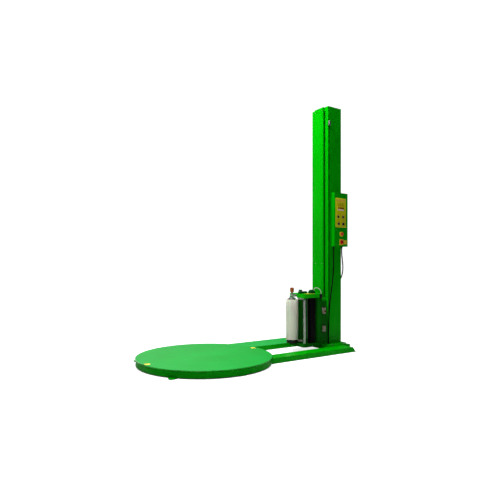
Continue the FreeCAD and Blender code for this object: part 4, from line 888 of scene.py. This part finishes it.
@dataclass
class ControlBox(Assembly):
    """Control box with its printed panel, display, lamps, bezels and knobs."""

    face: float = -217.0
    panel_x: Span = (1784.0, 1972.0)
    panel_z: Span = (1566.0, 1944.0)
    collar: float = 3.5
    dials: tuple[str, ...] = ("selector_left", "selector_right", "dial_left", "dial_right")

    def build(self) -> None:
        """Dresses the box and adds everything on its front."""
        self.dress("green", "control_box control_cover")
        self._panel()
        self._display()
        self._bezels()
        for side in ("left", "right"):
            self._knob("selector_" + side, side + "_selector", 14, 7, 7, 0)
            self._knob("dial_" + side, side + "_dial", 14.8, 12, 3, 30)
        self._stop_button()
        self._main_switch()

    def _panel(self) -> None:
        """Adds the printed panel: border, field, title bar, group frames and blank legends."""
        shape = Shape("control_panel_foil")

        def foil(x: Span, z: Span, finish: str, lift: float = 1.1) -> None:
            """Adds a thin printed foil on the front face."""
            back = self.face - lift + 0.4
            shape.slab((x[0], back - 0.4, z[0]), (x[1], back, z[1]), finish, 0.1)

        (x0, x1), (z0, z1) = self.panel_x, self.panel_z
        foil((x0, x1), (z0, z1), "label_edge", 0.5)
        foil((x0 + 6, x1 - 6), (z0 + 6, z1 - 6), "label", 0.8)
        foil((x0 + 16, x1 - 16), (z1 - 40, z1 - 18), "label_title")
        for row, finish in enumerate(("label_title", "label_dark") * 2):
            low = z1 - 56 - 11 * row
            inset = 24 + 9 * (row % 2)
            foil((x0 + inset, x1 - inset), (low, low + 3), finish)
        foil((x0 + 40, x1 - 40), (1842, 1847), "label_red")
        for node in self.dials:
            x, _, z = middle(node)
            foil((x - 30, x + 30), (z - 36, z - 34.5), "label_dark")
            foil((x - 20, x + 20), (z + 25, z + 31), "label_title")
            for up, along in ring(12, 23, -120)[:9]:
                foil((x + along - 1, x + along + 1), (z + up - 1, z + up + 1), "label_dark")
        foil((1938, 1988), (1350, 1402), "sticker", 0.5)
        shape.finish("base", "bezel_yellow")

    def _display(self) -> None:
        """Adds the counter display with its windows, key row and two lamps."""
        front = self.face
        shape = Shape("counter_display")
        shape.slab((1826, front - 3, 1779), (1934, front, 1831), "yellow", 1.5)
        for column in range(4):
            x = 1830 + 26.2 * column
            shape.slab((x, front - 5, 1783), (x + 21, front - 2.8, 1800), "white", 1.2)
            shape.slab((x, front - 4, 1806), (x + 21, front - 2.8, 1827), "window", 0.4)
            for z in (1809.5, 1815.5, 1821.5):
                shape.slab((x + 6, front - 4.3, z), (x + 15, front - 3.9, z + 1.5), "orange_red", 0.1)
        for x, finish in ((1858, "lamp_green"), (1902, "lamp_red")):
            shape.drum(5, (x, front - 0.5, 1866), 4, Axis.FRONT, finish, sides=24)
        shape.finish("base", "black_plastic")

    def _bezels(self) -> None:
        """Replaces the bezels with turned rings, the yellow collar and the yellow plate."""
        shape = Shape("switch_bezel_set")
        for node in self.dials:
            x, _, z = middle(node)
            shape.turned([(7, 0), (18, 0), (17.6, 2), (15.4, 3), (7, 3)], (x, self.face, z),
                         Axis.FRONT, "zinc")
        x, _, z = middle("estop_button")
        shape.turned([(11.5, 0), (32, 0), (32, 7), (29, 10), (11.5, 10)], (x, self.face, z),
                     Axis.FRONT, "yellow", bevel=0.8)
        x, _, z = middle("main_switch_knob")
        shape.block((x, self.face - 1.5, z), (37.5, 1.5, 37.5), "yellow", 1.2)
        for side, rise in four(29.5, 29.5):
            shape.drum(3, (x + side, self.face - 2.8, z + rise), 1.2, Axis.FRONT, "zinc", 0.4, 20)
        shape.finish("base", "bezel_yellow", "switch_bezels")

    def _knob(self, node: str, body: str, radius: float, depth: float, grip: float,
              flutes: int) -> None:
        """Replaces a turn knob with a fluted one that has a pointer line.

        Args:
            node: The CAD knob.
            body: The body it turns with.
            radius: Radius of its skirt.
            depth: Depth of its skirt.
            grip: Width of its grip.
            flutes: Ribs round its skirt.
        """
        x, _, z = middle(node)
        front = self.face - self.collar
        tip = front - depth
        shape = Shape(node + "_moulding")
        shape.turned([(0, 0), (radius, 0), (radius * 0.96, depth), (0, depth)], (x, front, z),
                     Axis.FRONT, "black", bevel=0.9)
        for side, rise in ring(flutes, radius * 0.955):
            shape.drum(0.9, (x + side, front - 0.6, z + rise), depth - 1.6, Axis.FRONT, "black",
                       0.3, 10)
        shape.block((x, tip - 4, z), (grip / 2, 5, radius * 0.92), "black", 1.4)
        shape.slab((x - 0.8, tip - 9.2, z + radius * 0.25), (x + 0.8, tip - 8.6, z + radius * 0.86),
                   "white", 0.15)
        shape.finish(body, "black_plastic", node)

    def _stop_button(self) -> None:
        """Replaces the stop button with a domed mushroom on its neck."""
        x, _, z = middle("estop_button")
        front = corners("estop_button")[0].y
        shape = Shape("stop_mushroom")
        shape.turned([(0, 0), (9, 0.3), (17, 1.8), (22.5, 5), (24, 8.5), (23.4, 12), (21, 13), (11, 13),
                      (10.8, 30), (0, 30)], (x, front, z), Axis.Y, "orange_red")
        for side, rise in ring(3, 13, 90):
            shape.drum(1.7, (x + side, front + 1.9, z + rise), 1, Axis.FRONT, "white", 0.2, 12)
        shape.finish("stop_button", "stop_red", "estop_button")

    def _main_switch(self) -> None:
        """Replaces the main switch's knob with a red one with a tapered grip."""
        x, _, z = middle("main_switch_knob")
        front = self.face - self.collar
        shape = Shape("main_switch_grip")
        shape.turned([(0, 0), (26, 0), (26, 4), (22, 10), (0, 10)], (x, front, z), Axis.FRONT, "red",
                     bevel=1)
        shape.slab((x - 6, front - 19, z - 24), (x + 6, front - 8, z + 24), "red", 3)
        shape.slab((x - 1.5, front - 19.3, z + 10), (x + 1.5, front - 18.6, z + 20), "white", 0.2)
        shape.finish("main_switch", "switch_red", "main_switch_knob")


@dataclass
class Carriage(Assembly):
    """Film carriage: rollers, reel, brake, tension knob and terminal boxes."""

    arm_half: float = 26.0
    arm_low: float = 698.0
    arm_high: float = 706.0
    terminal_x: float = 1610.0
    terminal_heights: Span = (274.0, 501.0)

    def build(self) -> None:
        """Dresses the carriage and adds its detail."""
        for finish, nodes in (
                ("carriage_green", "carriage_frame"), ("shaded_cover_green", "carriage_cover"),
                ("under_deck_shaded_green", "carriage_trolley"), ("roller_green", "green_roller"),
                ("grey_metal", "grey_roller reel_plunger"), ("rubber", "brake_roller"),
                ("black", "reel_base")):
            self.dress(finish, nodes)
        self._film()
        self._roller_caps()
        self._reel_arm()
        self._reel_knob()
        self._tension_knob()
        self._brake()
        self._terminal_boxes()

    def _film(self) -> None:
        """Replaces the roll with wound film that has a slightly telescoped end, and its core."""
        low, high = corners("film_roll")
        foot, length = (*REEL_AXIS, low.z), high.z - low.z
        bottom, top, rim = 5, length - 5, (high.x - low.x) / 2
        ends = [(44.2, 0.5), (52, 0.1), (60, 0.9), (rim - 4.8, 0.2), (rim - 1.4, 1.2), (rim - 0.2, 3)]
        profile = [(radius, bottom + step) for radius, step in ends]
        profile += [(rim - 0.1, bottom + 120), (rim - 0.4, bottom + 250), (rim - 0.1, top - 110)]
        profile += [(radius, top - step) for radius, step in reversed(ends)]
        shape = Shape("film_winding")
        shape.turned(profile, foot, Axis.Z, "film", 128)
        shape.turned([(38, 0), (44, 0), (44, length), (38, length)], foot, Axis.Z, "card", 96, 0.6)
        shape.finish("film_reel", "film_white", "film_roll")

    def _roller_caps(self) -> None:
        """Adds end caps to the three rollers."""
        for node, body, finish, height, slot in (
                ("green_roller", "green_roll", "white", 28, "film_white"),
                ("grey_roller", "grey_roll", "black", 6, "black_plastic"),
                ("brake_roller", "brake_roll", "black", 6, "black_plastic")):
            low, high = corners(node)
            x, y, _ = middle(node)
            radius = (high.x - low.x) / 2
            shape = Shape(node + "_caps")
            for foot, axis in ((low.z, Axis.Z), (high.z, Axis.DOWN)):
                shape.turned([(radius + 0.1, 2), (radius + 1.2, 3), (radius + 1.2, height - 1),
                              (radius + 0.1, height)], (x, y, foot), axis, finish)
            shape.finish(body, slot)

    def _reel_arm(self) -> None:
        """Replaces the arm with a grey one on its riser, a guide bush, and the screw bracket."""
        (x, y), low, high, half = REEL_AXIS, self.arm_low, self.arm_high, self.arm_half
        shape = Shape("reel_arm_plate")
        shape.slab((x, y - half, low), (1345, y + half, high), "arm_grey", 0.8)
        shape.drum(half - 0.1, (x, y, low), high - low, Axis.Z, "arm_grey", 0.8)
        shape.slab((1315, y - half, high - 1), (1345, y + half, 716), "arm_grey", 0.4)
        shape.turned([(10.3, 0), (15, 0), (15, 3), (13, 4), (10.3, 4)], (x, y, high), Axis.Z, "zinc")
        shape.slab((1317, -66, 720), (1440, -30, 746), "bracket_green", 1.5)
        for place in (1385, 1425):
            shape.hexagon(10, (place, SCREW_AXIS[1], 746), 5, Axis.Z, "zinc")
        shape.finish("carriage", "machine_green", "reel_arm")

    def _reel_knob(self) -> None:
        """Replaces the pull knob with a fluted phenolic one."""
        x, y = REEL_AXIS
        low = corners("reel_knob")[0].z
        shape = Shape("reel_pull_knob")
        shape.turned([(0, 0), (14, 0), (15, 7), (23, 10), (24.6, 17), (23.6, 35), (24.4, 51), (22, 61),
                      (14, 64.6), (0, 65)], (x, y, low), Axis.Z, "brown", 72)
        for side, depth in ring(16, 22.9):
            shape.drum(1.6, (x + side, y + depth, low + 16), 35, Axis.Z, "brown", 0.7, 12)
        shape.finish("plunger", "knob_orange", "reel_knob")

    def _tension_knob(self) -> None:
        """Replaces the tension knob with a three-lobed moulding round a steel insert."""
        low, high = corners("tension_knob")
        (x, y), foot = SCREW_AXIS, high.z - 22
        shape = Shape("tension_hand_knob")
        shape.drum(15.5, (x, y, foot), 21.5, Axis.Z, "bracket_green", 2)
        for side, depth in ring(3, 15, 30):
            shape.drum(10.8, (x + side, y + depth, foot), 21, Axis.Z, "bracket_green", 3.5)
        shape.drum(5, (x, y, foot + 20), 2, Axis.Z, "steel", 0.5)
        shape.drum(5.9, (x, y, low.z), foot - low.z + 1, Axis.Z, "steel", 0.4)
        shape.finish("tension_screw", "black_plastic", "tension_knob")

    def _brake(self) -> None:
        """Replaces the brake with a finned housing, its cap, blank plate and plug socket."""
        x, y = BRAKE_AXIS
        low = corners("brake_unit")[0].z
        profile = [(0, 0), (39.8, 0)]
        for height in (4, 11, 18, 25):
            profile += [(39.8, height), (36, height + 1), (36, height + 3.5), (39.8, height + 4.5)]
        profile += [(39.8, 33), (38, 34), (26, 34.5), (25, 46.5), (23, 48), (0, 48)]
        shape = Shape("powder_brake")
        shape.turned(profile, (x, y, low), Axis.Z, "bracket_green", 72)
        for side, depth in ring(4, 31, 45):
            shape.hexagon(6, (x + side, y + depth, low + 34), 4, Axis.Z, "zinc")
        shape.slab((x + 30, y - 12, low), (x + 52, y + 12, low + 26), "black", 2)
        shape.slab((1360, -166, low), (1430, -100, low + 0.8), "sticker", 0.2)
        shape.slab((1430, -166, low), (1488, -149, low + 0.8), "sticker", 0.2)
        shape.finish("carriage", "brake_black", "brake_unit")

    def _terminal_boxes(self) -> None:
        """Replaces the terminal boxes and the cable elbow with lidded mouldings and glands."""
        wall, x = CARRIAGE_SIDE, self.terminal_x
        shape = Shape("terminal_boxes")
        for z in self.terminal_heights:
            shape.block((x, wall - 11, z), (22, 11, 37), "grey_box", 4)
            shape.block((x, wall - 25.3, z), (22, 2.7, 37), "grey_box", 2.4)
            for side, rise in four(16, 30):
                shape.drum(2.6, (x + side, wall - 27.6, z + rise), 1.2, Axis.FRONT, "zinc", 0.4, 20)
            for foot, axis in ((z - 37, Axis.DOWN), (z + 37, Axis.Z)):
                shape.hexagon(17, (x, wall - 14, foot), 7, axis, "black")
                shape.turned([(4, 0), (8.8, 0), (8.2, 10), (5.6, 16.5), (4, 17)],
                             (x, wall - 14, foot), axis, "black")
        shape.turned([(0, 0), (13, 0), (12.4, 2.6), (8, 3.8), (0, 4)],
                     (x + 8, wall - 27.9, self.terminal_heights[1] - 8), Axis.FRONT, "red_lens")
        x, y, z = BRAKE_LEAD.points[-1]
        shape.block((x, wall - 14, z - 36), (14, 14, 24), "black", 4)
        shape.turned([(0, 0), (9, 0), (8.6, 4), (4.4, 12), (0, 12)], (x, y, z - 12), Axis.Z, "black")
        shape.finish("carriage", "box_grey", "junction_boxes")


@dataclass
class Glands(Assembly):
    """Cable glands and the hooded inlet behind the mast."""

    hood_depth: float = 24.0

    def build(self) -> None:
        """Replaces the glands with ribbed nuts and tapered strain reliefs."""
        box_floor = corners("control_box")[0].z
        foot_top = corners("mast_foot")[1].z
        rear = corners("mast_column")[1].x
        shape = Shape("cable_gland_set")
        for lead in (MOTOR_LEAD, MAST_LEAD):
            x, y, z = lead.points[0]
            self._gland(shape, (x, y, box_floor), box_floor - z, Axis.DOWN)
        x, y, z = MOTOR_LEAD.points[-1]
        self._gland(shape, (x, y, foot_top), z - foot_top, Axis.Z)
        x, y, z = MAST_LEAD.points[-1]
        hood = z - self.hood_depth
        shape.slab((rear, y - 22, hood - 45), (rear + 38, y + 22, hood), "black", 4)
        self._gland(shape, (x, y, hood), self.hood_depth, Axis.Z)
        shape.finish("base", "black_plastic", "cable_glands")

    @staticmethod
    def _gland(shape: Shape, foot: Point, length: float, axis: Axis) -> None:
        """Adds one gland: a hexagon nut, a ribbed dome and a tapered sleeve."""
        shape.hexagon(23, foot, length * 0.42, axis, "black")
        shape.turned([(0, 0), (10.2, 0), (10.2, length * 0.62), (9.2, length * 0.68),
                      (9.4, length * 0.74), (9, length * 0.92), (8.2, length), (0, length)],
                     foot, axis, "black")
        rise = foot[2] + axis.value[2] * length * 0.42
        for side, depth in ring(12, 9.9):
            shape.drum(1, (foot[0] + side, foot[1] + depth, rise), length * 0.2, axis, "black", 0.3, 8)


def main() -> None:
    """Builds the studio, the cables and every sub-assembly."""
    logging.basicConfig(level=logging.INFO, format="%(name)s %(message)s")
    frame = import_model()
    Studio().build()
    for cable in (MOTOR_LEAD, MAST_LEAD, BRAKE_LEAD):
        cable.build()
    for assembly in (Glands, Turntable, Base, Mast, ControlBox, Carriage):
        assembly(frame).build()


if __name__ == "__main__":
    main()
